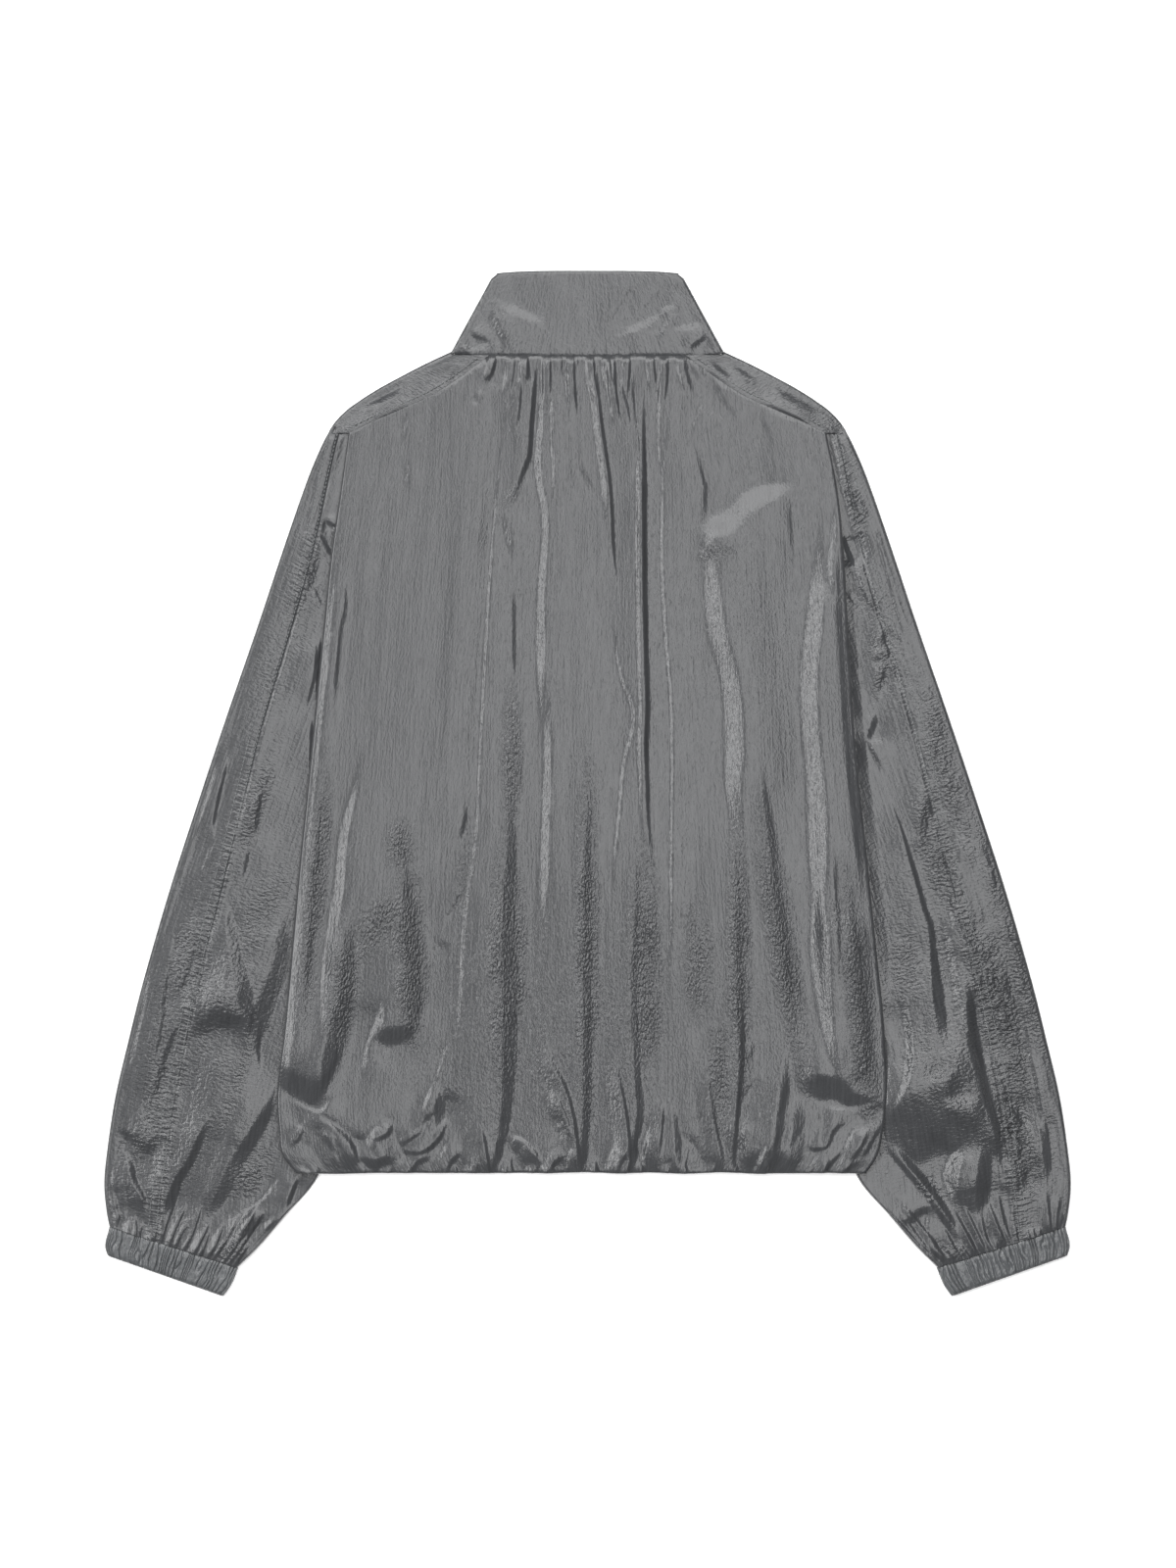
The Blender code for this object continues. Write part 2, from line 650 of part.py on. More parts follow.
def cuffs():
    """The elastic cuffs: flattened tubes with a rib for each gather of the elastic."""
    outer, inner = cuff_points()
    cloth("cuff_right", outer[:, ::-1], elastic(), inner=inner[:, ::-1], closed=True)
    cloth("cuff_left", mirrored(outer[:, ::-1]), elastic(), inner=mirrored(inner[:, ::-1]), closed=True)


def block(name, low, high, bevel, finish):
    """A bevelled bar between two corners."""
    low, high = np.array(low), np.array(high)
    corners = [(x, y, z) for x in (0, 1) for y in (0, 1) for z in (0, 1)]
    points = [tuple((low + (high - low) * np.array(corner)) * MM) for corner in corners]
    faces = [(0, 1, 3, 2), (4, 6, 7, 5), (0, 4, 5, 1), (2, 3, 7, 6), (0, 2, 6, 4), (1, 5, 7, 3)]
    mesh = bpy.data.meshes.new(name)
    mesh.from_pydata(points, [], faces)
    mesh.materials.append(finish)
    made = bpy.data.objects.new(name, mesh)
    bpy.context.scene.collection.objects.link(made)
    rounding = made.modifiers.new("rounding", "BEVEL")
    rounding.width = bevel * MM
    rounding.segments = 2
    return made


def zip_fastener():
    """The closed zip between the fronts, and its slider at the top of the chain."""
    top = float(neck_seam_y(COLLAR_FOOT)) - FRONT_NECK_DROP + COLLAR_FRONT_HEIGHT - 4.0
    half = 0.5 * CHAIN
    chain_end = top - SLIDER_LONG - SEAM
    block("zip_chain", (-half, HEM_Y + 1.0, 0.0), (half, chain_end, CHAIN_THICK), 0.4, zip_nylon())
    block("zip_slider", (-half, top - SLIDER_LONG, 0.0), (half, top, SLIDER_THICK), 0.8, zip_nylon())


def clear_scene():
    for made in list(bpy.data.objects):
        bpy.data.objects.remove(made, do_unlink=True)


def main():
    clear_scene()
    back()
    fronts()
    collar()
    sleeves()
    cuffs()
    zip_fastener()


main()
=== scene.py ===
"""The looks of a blouson jacket of crinkled nylon, laid flat on its front with the back up.

Sizes are in millimetres and the meshes in metres, in the frame of the CAD model: +X to the wearer's
right, +Y to the collar, +Z up.  Each cloth piece is a thin shell on the form of the solid that it
replaces, with its creases placed one by one.  The light comes from the left, so a slope that faces left
is bright and one that faces right is dark.
"""

import math
from collections import namedtuple

import bpy
import numpy as np
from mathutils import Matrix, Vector


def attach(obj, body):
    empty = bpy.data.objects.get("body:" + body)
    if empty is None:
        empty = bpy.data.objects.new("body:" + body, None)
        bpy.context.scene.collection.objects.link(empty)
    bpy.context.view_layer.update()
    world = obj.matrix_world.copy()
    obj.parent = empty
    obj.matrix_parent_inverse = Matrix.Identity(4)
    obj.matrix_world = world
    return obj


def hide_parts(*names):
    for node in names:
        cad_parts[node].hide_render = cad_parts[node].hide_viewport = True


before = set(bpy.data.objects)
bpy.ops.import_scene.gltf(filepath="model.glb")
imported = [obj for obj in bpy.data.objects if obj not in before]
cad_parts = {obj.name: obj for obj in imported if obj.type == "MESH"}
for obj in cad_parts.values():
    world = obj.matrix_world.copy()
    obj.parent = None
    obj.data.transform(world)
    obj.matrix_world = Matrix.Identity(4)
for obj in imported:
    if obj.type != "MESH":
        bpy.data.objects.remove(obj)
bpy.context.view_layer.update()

MM = 0.001

# Layers
FOLD_RADIUS = 3.0  # outer radius of a folded edge: collar sides, shoulders, sleeve edges
LAID = 2 * FOLD_RADIUS  # top of two layers that lie on each other
TUCKED = 3.8  # top of a sleeve where the body lies over it
UNDER_BODY = 2.6  # the same where the sleeve sinks beside the body's edge
FLOOR_GAP = 0.3  # clearance of the lowest cloth above the surface
LOWEST_BACK = 2.0  # the back stays this high, above the fronts
LOWEST_SLEEVE = 1.3  # and a sleeve's top face this high, above its under side
SEAM_GAP = 0.3  # clearance between two pieces at a seam

# Body
HEM_Y = -318.8
NECK_Y = 349.1  # back neck seam at the middle
NECK_RISE = 2.4  # how much higher the neck seam is at its ends
COLLAR_FOOT = 112.0  # half width of the collar at the neck seam
SEAM_NECK_X = 80.0  # where a shoulder seam meets the neck seam, on the back
SHOULDER_TIP = (195.0, 286.0)  # where a shoulder seam meets the armhole, on the back
ARMPIT_Y = 25.0
FRONT_NECK_DROP = 48.0  # front neck seam below the back one, at the zip
EDGE_ROLL = 2.5  # radius of the back's rolled side
TIP_ROLL = 1.5  # the same at the shoulder tip
ARMHOLE_TUCK = 4.0  # how far the rolled side turns under above the armpit
HEM_ROLL = 1.3
HEM_DROP = 0.6  # how far the back dips to the fronts at the hem
FRONT_GAP = 0.8  # from a front's side edge to the sleeve's inner edge
STRIP_FALL = 3.2  # how much lower the shoulder's folded edge is than its seam
SLEEVE_RISE = 14.0  # length over which a sleeve comes up from under the shoulder
HEM_TURN = 16.0  # depth of the turned-up hem

# Collar
COLLAR_TOP_Y = 418.8
COLLAR_TOP = 77.0  # half width at the top edge
COLLAR_FRONT_HEIGHT = 74.0
COLLAR_EDGE_ROLL = 1.2
COLLAR_CORNER = 1.8  # how much lower the top edge is at its rounded corners

# Zip
CHAIN = 7.2  # width of the closed zip between the fronts
FRONT_EDGE = 0.5 * CHAIN + SEAM_GAP  # where a front and the collar end beside the zip
TOOTH_PITCH = 2.4
SLIDER_LONG = 9.0

# Sewing
SEAM_GROOVE = 0.9  # depth of the line where two panels meet
STITCH_PITCH = 3.4
STITCH_LONG = 2.5
STITCH_WIDE = 0.7
STITCH_RISE = 0.35
STITCH_SIDES = 6
TOPSTITCH = 8.0  # distance of the sleeve's topstitching from its seam
SEAM_STITCH = 1.6  # the same for the row close to the seam
SHOULDER_TOPSTITCH = 4.0  # and for the topstitching above a shoulder seam

# Cuffs
CUFF_RIBS = 27  # ribs on each face of an elastic cuff
CUFF_RIB_RISE = 2.6
CUFF_RIB_WIDE = 0.15  # width of the groove between two ribs, as a share of their pitch
CUFF_GATHERS = 19

# Folds
FADE = 22.0  # length over which a fold of middle length comes up from the flat cloth
SHORT_FADE = 0.4  # the same for a short fold, as a share of its own length
LONG_FADE = 0.3  # and for a long one
END_WIDTH = 0.3  # width of a fold at its ends, as a share of the full one
RECOVER = 4.0  # distance over which the cloth goes back to level, in widths of the fold
RECOVER_MORE = 16.0  # added to it
RECOVER_MOST = 60.0
SINK = 2.2  # how far a fold goes below the cloth round it; the rest of its height rises above
ROUND_SIDE = 5.0  # how the slope of a lit fold ends at its sides: softly, as the cloth rolls over there
CRISP_SIDE = 7.0  # the same for a shaded fold, which ends in a crease
GENTLE = 4.6  # width of a sharp crease's gentle side, in widths of its steep side
CREASE_FADE = 0.35  # share of a sharp crease's length over which it comes up at each end
BACK_CRUMPLING = 0.12  # how high the crumpling of the back stands
HEM_FACETS = 0.45  # how high the facets above the hem stand

# Seeds of the uneven parts
SEED = {
    "back grain": 1,
    "left cuff gathers": 5,
    "right cuff gathers": 6,
    "crumpled places": 7,
    "back crumple": 11,
    "hem facets": 15,
    "hem edge": 31,
    "sleeve grain": 41,
    "sleeve crumple": 51,
    "sleeve facets": 55,
    "seam puckers": 61,
    "sleeve under side": 71,
    "cuff wander": 81,
    "cuff ribs": 91,
    "cuff depth": 101,
    "collar": 111,
    "collar fine": 112,
    "collar puckers": 113,
    "front waves": 121,
    "shoulder strip": 131,
}

# The body's side edges as seen from above
Edge = namedtuple("Edge", "y left right")
BODY_EDGES = [
    Edge(-318.8, -237.0, 227.0),
    Edge(-305.0, -248.0, 236.0),
    Edge(-282.0, -252.0, 241.5),
    Edge(-262.0, -253.5, 244.0),
    Edge(-205.0, -248.0, 242.5),
    Edge(-128.0, -241.0, 235.0),
    Edge(-64.0, -235.0, 228.5),
    Edge(32.0, -225.0, 218.5),
    Edge(128.0, -215.5, 212.5),
    Edge(190.0, -209.0, 209.0),
    Edge(240.0, -201.5, 204.0),
    Edge(286.0, -195.0, 195.0),
]

# The shoulder's folded edge, and the shoulder seam on the back, from the neck to the armhole
Shoulder = namedtuple("Shoulder", "x y")
SHOULDER = [
    Shoulder(110.6, 353.4),
    Shoulder(134.8, 342.0),
    Shoulder(153.2, 332.4),
    Shoulder(170.8, 322.8),
    Shoulder(186.0, 313.2),
    Shoulder(198.8, 303.6),
    Shoulder(207.0, 294.8),
    Shoulder(211.4, 288.4),
]
SHOULDER_SEAM = [
    Shoulder(80.0, 349.7),
    Shoulder(90.0, 342.2),
    Shoulder(104.5, 331.5),
    Shoulder(124.5, 318.5),
    Shoulder(150.0, 306.5),
    Shoulder(175.0, 295.5),
    Shoulder(195.0, 286.0),
]

# Sections across a sleeve, from the shoulder to the cuff seam.  seam is the distance of the stitched
# seam from the outer edge, and tuck the width that the body lies over, from the inner edge.
Station = namedtuple("Station", "outer_x outer_y inner_x inner_y seam tuck")
SLEEVE = [
    Station(208.5, 292.0, 187.0, 287.0, 8.0, 12.0),
    Station(211.6, 287.0, 190.0, 280.0, 9.0, 12.0),
    Station(218.5, 273.5, 191.0, 258.0, 13.0, 15.0),
    Station(229.2, 247.6, 194.0, 222.0, 19.0, 18.0),
    Station(246.0, 199.6, 196.0, 170.0, 25.0, 22.0),
    Station(270.0, 127.6, 196.0, 96.0, 28.0, 30.0),
    Station(294.8, 55.6, 194.0, 25.0, 31.0, 40.0),
    Station(318.8, -16.4, 196.0, -50.0, 37.0, 46.0),
    Station(342.0, -88.4, 199.0, -125.0, 42.0, 50.0),
    Station(362.8, -160.4, 203.0, -200.0, 45.0, 53.0),
    Station(374.8, -208.4, 206.5, -250.0, 47.0, 55.0),
    Station(386.0, -256.4, 212.0, -293.0, 49.0, 50.0),
    Station(393.2, -304.4, 222.0, -324.0, 50.0, 30.0),
    Station(395.0, -328.4, 246.0, -352.4, 48.0, 8.0),
    Station(393.0, -350.0, 268.0, -378.0, 44.0, 4.0),
    Station(390.7, -361.6, 285.4, -395.2, 40.0, 4.0),
]

# Sections across a cuff, from the sleeve to the wrist
Band = namedtuple("Band", "outer_x outer_y inner_x inner_y")
CUFF = [
    Band(390.6, -362.0, 285.2, -395.7),
    Band(393.8, -380.6, 293.6, -413.6),
    Band(392.0, -385.6, 297.6, -418.8),
]

# Folds, listed one by one.  slope is how steep the cloth is across the fold: above 0 it faces the light.
# width is how wide the slope is, at even places along the fold.  The points run from top to bottom,
# or from right to left where the fold lies level.
Fold = namedtuple("Fold", "slope width points")

BACK_FOLDS = [
    # Left pleat and the gathered middle
    Fold(0.5, (3,), [(-63, 362), (-66, 310), (-70, 280), (-74, 240), (-79, 180), (-84, 100), (-88, 20),
                     (-93, -60), (-98, -90), (-104, -170), (-108, -240), (-111, -290)]),
    Fold(-0.12, (9, 10), [(-71, 362), (-74, 310), (-79, 270), (-84, 220), (-88, 160), (-93, 90),
                          (-97, 20), (-101, -50), (-107, -120), (-114, -210)]),
    Fold(-0.9, (3, 4, 3), [(-40, 362), (-44, 310), (-46, 285), (-48, 265), (-52, 255), (-58, 240),
                           (-67, 221)]),
    Fold(0.4, (8, 7, 8, 9, 8), [(-36, 362), (-38, 300), (-40, 250), (-36, 230), (-38, 150), (-38, 62),
                                (-38, 10)]),
    Fold(0.36, (9,), [(-34, 100), (-33, 62), (-33, 20), (-34, -30), (-36, -90), (-37, -140)]),
    Fold(0.5, (3,), [(-30, 340), (-28.5, 270), (-28, 245), (-31, 220)]),
    Fold(-0.6, (2.6,), [(-54, 338), (-55, 310), (-57, 295), (-61, 280)]),
    Fold(-0.5, (3,), [(-50, 352), (-46, 322)]),
    Fold(-0.45, (4,), [(-74, 350), (-79, 334), (-89, 323)]),
    Fold(-0.4, (4,), [(-86, 310), (-94, 320)]),
    Fold(0.3, (7,), [(-72, 226), (-65, 205), (-61, 180)]),
    Fold(-0.35, (4,), [(-60, 170), (-60, 120), (-60, 76)]),
    Fold(-0.42, (5, 8, 11, 15, 14, 10, 7, 6), [(-61, 64), (-63, 0), (-62, -60), (-64, -100), (-63, -150),
                                               (-63, -200), (-64, -240), (-66, -270), (-72, -300),
                                               (-80, -332), (-100, -420)]),
    Fold(-0.8, (3,), [(8, 362), (9, 320), (11, 300), (15, 270), (18, 250), (20, 225), (21, 200),
                      (23, 175), (28, 142)]),
    Fold(0.43, (6.5,), [(3, 355), (4, 320), (7, 290), (11, 262), (14, 235), (16, 200)]),
    Fold(0.5, (3.4,), [(17, 160), (22, 120), (28, 85), (37, 60), (37, 48), (30, 20), (26, -20),
                       (22, -60), (19, -120)]),
    Fold(-0.5, (2.6,), [(27, 354), (28, 325), (33, 305), (37, 284)]),
    Fold(-0.45, (2.6,), [(40, 350), (37, 325), (39, 300), (41, 270), (38, 258), (32, 240)]),
    Fold(0.35, (3,), [(-6, 282), (-4, 255), (3, 245), (10, 234)]),
    # Deepest fold, down the right of the middle
    Fold(0.46, (4,), [(42, 362), (40.5, 300), (41, 250), (41, 200), (41.5, 150), (42, 100), (43, 60),
                      (42, 30), (43, 0), (44, -30), (47, -60), (50, -108)]),
    Fold(-1.3, (4, 4, 4, 3.5, 3, 2.4), [(47, 362), (46.5, 330), (46, 300), (46.5, 250), (46.5, 200),
                                        (47, 150), (48, 100), (49, 60), (48, 30), (49, 0), (50, -30),
                                        (53, -60), (56, -108)]),
    Fold(0.48, (3,), [(58, 340), (58, 300), (58, 275), (62, 246)]),
    Fold(0.48, (3.6,), [(72, 358), (68, 310), (65, 285), (62, 260), (61, 230), (61, 170), (62, 150),
                        (64, 120), (67, 85), (69, 20), (68, -60), (68, -120), (66, -180), (65, -240)]),
    Fold(-0.42, (5, 7, 8, 7, 6), [(2, 48), (1, -30), (0, -60), (0, -180), (0, -230), (-1, -270),
                                  (-4, -332), (-9, -430)]),
    Fold(-0.4, (6, 7, 7, 6), [(40, -22), (40, -120), (38, -160), (39, -200), (41, -240), (43, -270),
                              (40, -290), (34, -332), (20, -420)]),
    # Right of the middle
    Fold(0.3, (5,), [(101, 316), (93, 309), (88, 295), (83, 274)]),
    Fold(0.25, (5,), [(97, 336), (112, 312), (126, 292)]),
    Fold(0.22, (5,), [(137, 302), (148, 288), (153, 268)]),
    Fold(0.25, (10, 18, 23, 23, 18), [(180, 239), (165, 242), (150, 238), (132, 230), (115, 214),
                                      (98, 209), (76, 213)]),
    Fold(-0.25, (7,), [(124, 186), (112, 192), (96, 192), (84, 197)]),
    Fold(0.42, (10, 18, 20, 13), [(97, 250), (99, 195), (101, 165), (104, 140), (108, 115), (115, 90),
                                  (119, 60), (120, 30), (119, 0), (122, -30), (124, -90)]),
    Fold(-0.36, (5, 6, 7, 7, 6), [(119, 0), (122, -60), (124, -120), (125, -180), (126, -220),
                                  (124, -260), (121, -290), (118, -316), (112, -400)]),
    Fold(-0.4, (3,), [(136, -206), (134, -222), (127, -228)]),
    Fold(-0.4, (3,), [(141, -234), (124, -260)]),
    Fold(-0.34, (5, 8, 10, 9), [(140, 40), (147, -20), (150, -40), (153, -70), (158, -110), (162, -140),
                                (165, -175), (168, -200), (170, -228)]),
    Fold(-0.3, (10, 9, 8), [(166, -200), (160, -250), (155, -275), (150, -304), (143, -370)]),
    Fold(0.46, (9, 18, 20, 18), [(197, 262), (190, 200), (184, 120), (181, 95), (181, 60), (182, 40),
                                 (185, 10), (187, -20), (188, -60), (189, -125), (192, -170)]),
    Fold(0.43, (16, 20, 13, 6), [(188, -70), (189, -125), (192, -170), (197, -205), (203, -232),
                                 (212, -268)]),
    Fold(-0.4, (3,), [(201, -36), (203, -90), (205, -130), (205, -180)]),
    Fold(0.46, (8,), [(203, 238), (201, 200), (198, 175), (204, 140)]),
    Fold(-0.32, (6, 8, 8, 7), [(212, -70), (218, -125), (222, -150), (225, -180), (228, -215),
                               (229, -260)]),
    # Left side
    Fold(0.6, (3,), [(-199, 262), (-204, 190), (-211, 128), (-220, 32), (-230, -64), (-237, -128),
                     (-244, -205), (-249, -262), (-245, -300)]),
    Fold(-0.5, (2.6, 3, 3), [(-191, 184), (-197, 160), (-197, 145), (-201, 125), (-203, 105), (-205, 85),
                             (-206, 50)]),
    Fold(0.2, (5,), [(-146, 304), (-152, 277)]),
    Fold(0.18, (6,), [(-146, 268), (-148, 234)]),
    Fold(-0.42, (4, 5, 6, 6), [(-209, 26), (-214, 0), (-218, -20), (-220, -60), (-223, -80),
                               (-225, -110), (-227, -140), (-230, -170), (-229, -232)]),
    Fold(0.37, (8, 9, 11, 11), [(-181, 50), (-188, 0), (-196, -30), (-200, -50), (-202, -80),
                                (-207, -110), (-211, -140), (-214, -170), (-217, -200), (-224, -232)]),
    Fold(-0.42, (7, 10, 13, 16, 18, 16), [(-191, -80), (-195, -140), (-197, -165), (-201, -190),
                                          (-207, -215), (-214, -238), (-224, -275)]),
    Fold(-0.27, (10, 26, 18, 25, 25), [(-204, -268), (-220, -256), (-236, -247), (-252, -238),
                                       (-285, -220)]),
    Fold(-0.3, (6, 10, 16, 26, 16), [(262, -264), (232, -261), (213, -257), (202, -249), (188, -248),
                                     (164, -258)]),
    Fold(-0.42, (6, 10, 15, 14, 6), [(-149, -40), (-144, -130), (-142, -160), (-141, -185),
                                     (-145, -228)]),
    Fold(-0.3, (6, 15, 17, 8), [(-131, -197), (-147, -203), (-162, -207), (-182, -207)]),
    Fold(0.4, (4,), [(-162, -172), (-172, -195), (-180, -215), (-183, -248)]),
    Fold(0.42, (4,), [(-112, -200), (-122, -235), (-130, -255), (-138, -280)]),
    Fold(-0.36, (8, 14), [(-117, -244), (-124, -284)]),
    Fold(-0.4, (3,), [(-98, -10), (-103, -40), (-114, -54)]),
    Fold(-0.4, (3,), [(-96, -80), (-110, -100), (-120, -122)]),
    Fold(-0.35, (3,), [(-106, -135), (-130, -127)]),
]

HEM_FOLDS = [
    # Left corner
    Fold(-0.8, (2.6, 3.2, 2.6), [(-226, -270), (-207, -281), (-194, -294), (-185, -318)]),
    Fold(-0.7, (2.4,), [(-231, -277), (-241, -298)]),
    Fold(0.5, (3,), [(-202, -248), (-219, -269), (-236, -262), (-252, -257)]),
    Fold(0.5, (2.4,), [(-217, -276), (-209, -295), (-203, -322)]),
    Fold(0.45, (2.4,), [(-206, -284), (-197, -300), (-190, -322)]),
    Fold(-0.8, (2.4,), [(-243, -312), (-228, -318), (-212, -326)]),
    Fold(-0.35, (4, 9, 5), [(-154, -298), (-170, -306), (-190, -301)]),
    Fold(-0.7, (2.4,), [(-131, -264), (-136, -281), (-157, -297)]),
    Fold(-0.8, (2.6,), [(-114, -272), (-122, -289), (-134, -299), (-156, -299)]),
    Fold(0.4, (2.6,), [(-118, -268), (-135, -283), (-150, -288)]),
    Fold(-0.8, (2.4,), [(-158, -276), (-163, -284), (-176, -291)]),
    Fold(-0.7, (2.4,), [(-126, -302), (-140, -309), (-152, -324)]),
    Fold(-0.7, (2.4,), [(-100, -297), (-112, -309), (-118, -326)]),
    Fold(-0.7, (2.4,), [(-88, -276), (-84, -296), (-80, -326)]),
    Fold(0.4, (2.4,), [(-108, -284), (-116, -300), (-132, -322)]),
    # Middle
    Fold(-0.8, (2.4,), [(-72, -288), (-54, -292), (-45, -300), (-34, -312)]),
    Fold(-0.8, (2.4, 3, 2.4), [(-36, -200), (-31, -226), (-20, -246), (-14, -266), (-10, -288),
                               (-8, -326)]),
    Fold(-0.8, (2.4,), [(-30, -248), (-19, -270), (-12, -292)]),
    Fold(0.45, (2.4,), [(-10, -292), (-14, -306), (-18, -324)]),
    Fold(-0.8, (2.4,), [(-17, -302), (-28, -309), (-36, -324)]),
    Fold(-0.7, (2.4,), [(34, -296), (28, -306), (22, -324)]),
    Fold(-0.8, (2.4, 2.8), [(20, -214), (25, -240), (30, -266), (33, -292), (34, -326)]),
    Fold(-0.7, (2.4,), [(62, -258), (60, -280), (57, -306)]),
    Fold(-0.4, (3, 6, 5), [(68, -256), (70, -280), (73, -326)]),
    Fold(0.5, (3,), [(52, -282), (47, -304), (44, -326)]),
    Fold(-0.8, (2.4, 2.8), [(94, -222), (99, -250), (103, -276), (108, -300), (112, -326)]),
    Fold(-0.7, (2.6,), [(124, -166), (125, -214), (122, -258), (119, -296), (117, -328)]),
    # Right corner
    Fold(-0.3, (6, 7, 6), [(164, -228), (158, -256), (153, -290), (150, -326)]),
    Fold(-0.32, (8, 12, 10), [(169, -248), (167, -280), (161, -326)]),
    Fold(0.5, (2.6,), [(154, -286), (146, -300), (134, -324)]),
    Fold(0.5, (4,), [(127, -268), (129, -292), (131, -326)]),
    Fold(0.4, (3,), [(246, -258), (215, -267), (198, -266), (184, -261)]),
    Fold(-0.8, (2.6,), [(212, -272), (199, -284), (193, -296), (184, -297), (176, -291)]),
    Fold(-0.8, (2.6,), [(231, -276), (223, -294), (212, -310)]),
    Fold(-0.8, (2.6,), [(239, -274), (231, -292), (222, -306)]),
    Fold(0.45, (2.6,), [(226, -272), (214, -292), (204, -318)]),
    Fold(0.4, (2.6,), [(205, -280), (190, -302), (176, -322)]),
    Fold(-0.7, (2.4,), [(212, -294), (196, -312), (186, -326)]),
    Fold(-0.8, (2.4,), [(222, -306), (208, -316), (196, -326)]),
]

LEFT_SLEEVE_FOLDS = [
    Fold(0.25, (3,), [(-218, 266), (-222, 245), (-226, 225), (-230, 205), (-237, 178)]),
    Fold(0.1, (6, 7, 6), [(-223, 156), (-232, 120), (-238, 100), (-243, 85), (-253, 52)]),
    Fold(-0.7, (4,), [(-203, 207), (-217, 217)]),
    Fold(-0.7, (4,), [(-219, 205), (-207, 182)]),
    Fold(-0.6, (3,), [(-222, 122), (-222, 95), (-226, 75), (-232, 54)]),
    Fold(-0.7, (3,), [(-218, 126), (-220, 90), (-223, 62)]),
    Fold(-0.6, (3,), [(-225, 62), (-226, 35), (-227, 0)]),
    Fold(-0.5, (2.6,), [(-227, 164), (-220, 153), (-214, 140)]),
    Fold(0.14, (5, 6, 6, 5), [(-257, 166), (-266, 128), (-274, 98), (-281, 70), (-288, 42), (-298, 4)]),
    Fold(-0.5, (3, 4, 3), [(-291, 30), (-297, 5), (-301, -12), (-305, -35), (-303, -52)]),
    Fold(0.12, (7,), [(-301, -38), (-310, -58), (-324, -82)]),
    Fold(-0.4, (3,), [(-309, -14), (-320, -45), (-328, -65), (-335, -85), (-344, -112), (-352, -135),
                      (-357, -165), (-362, -202)]),
    Fold(-0.45, (3, 4, 4, 3), [(-333, -104), (-340, -140), (-343, -160), (-346, -180), (-348, -200),
                               (-352, -220), (-360, -260)]),
    Fold(-0.45, (4, 6, 6, 5), [(-325, -178), (-335, -200), (-342, -215), (-347, -230), (-352, -250),
                               (-358, -274)]),
    Fold(-0.5, (4,), [(-319, -124), (-325, -150), (-331, -166), (-338, -182)]),
    Fold(-0.4, (4,), [(-265, 4), (-268, -15), (-270, -30), (-273, -50)]),
    Fold(-0.35, (4,), [(-275, -48), (-283, -84)]),
    Fold(-0.36, (5, 11, 15, 12), [(-296, -84), (-291, -118), (-285, -150), (-279, -172), (-275, -212)]),
    Fold(-0.35, (6, 18, 26, 24, 8), [(-241, -84), (-246, -130), (-250, -158), (-258, -178), (-268, -200),
                                     (-276, -236)]),
    Fold(-0.3, (6, 12, 18, 14, 6), [(-270, -190), (-288, -193), (-302, -192), (-314, -200),
                                    (-332, -208)]),
    Fold(0.1, (16, 20, 14), [(-302, -200), (-312, -235), (-320, -270), (-333, -314)]),
    Fold(0.1, (9,), [(-253, -176), (-260, -200), (-265, -240)]),
    Fold(-0.5, (3,), [(-266, -194), (-269, -220), (-265, -240)]),
    Fold(0.12, (10, 12, 12, 10), [(-276, -216), (-283, -245), (-289, -268), (-297, -292), (-306, -318),
                                  (-321, -352)]),
    Fold(-0.7, (5, 8, 8, 10, 9), [(-300, -262), (-312, -280), (-318, -295), (-325, -310), (-333, -322),
                                  (-339, -338), (-348, -370)]),
    Fold(-0.4, (7, 11, 14, 13, 9), [(-251, -230), (-258, -260), (-268, -280), (-280, -300), (-290, -316),
                                    (-298, -335), (-307, -350), (-322, -370)]),
    Fold(0.24, (4, 5, 4), [(-245, -315), (-258, -330), (-268, -342), (-280, -355), (-290, -367),
                           (-301, -379)]),
    Fold(-0.5, (8,), [(-260, -345), (-273, -360), (-290, -377)]),
    Fold(-0.5, (3,), [(-241, -345), (-262, -365), (-282, -389)]),
    Fold(-0.7, (5, 5, 4), [(-382, -294), (-373, -310), (-369, -325), (-362, -337), (-360, -358)]),
    Fold(-0.5, (2.6,), [(-378, -316), (-377, -340), (-376, -364)]),
    Fold(-0.5, (5,), [(-393, -324), (-386, -340), (-382, -358)]),
    Fold(-0.4, (10,), [(-342, -279), (-352, -291), (-358, -298), (-370, -290), (-378, -285),
                       (-391, -284)]),
    Fold(-0.9, (4,), [(-234, -316), (-241, -334), (-247, -352)]),
]

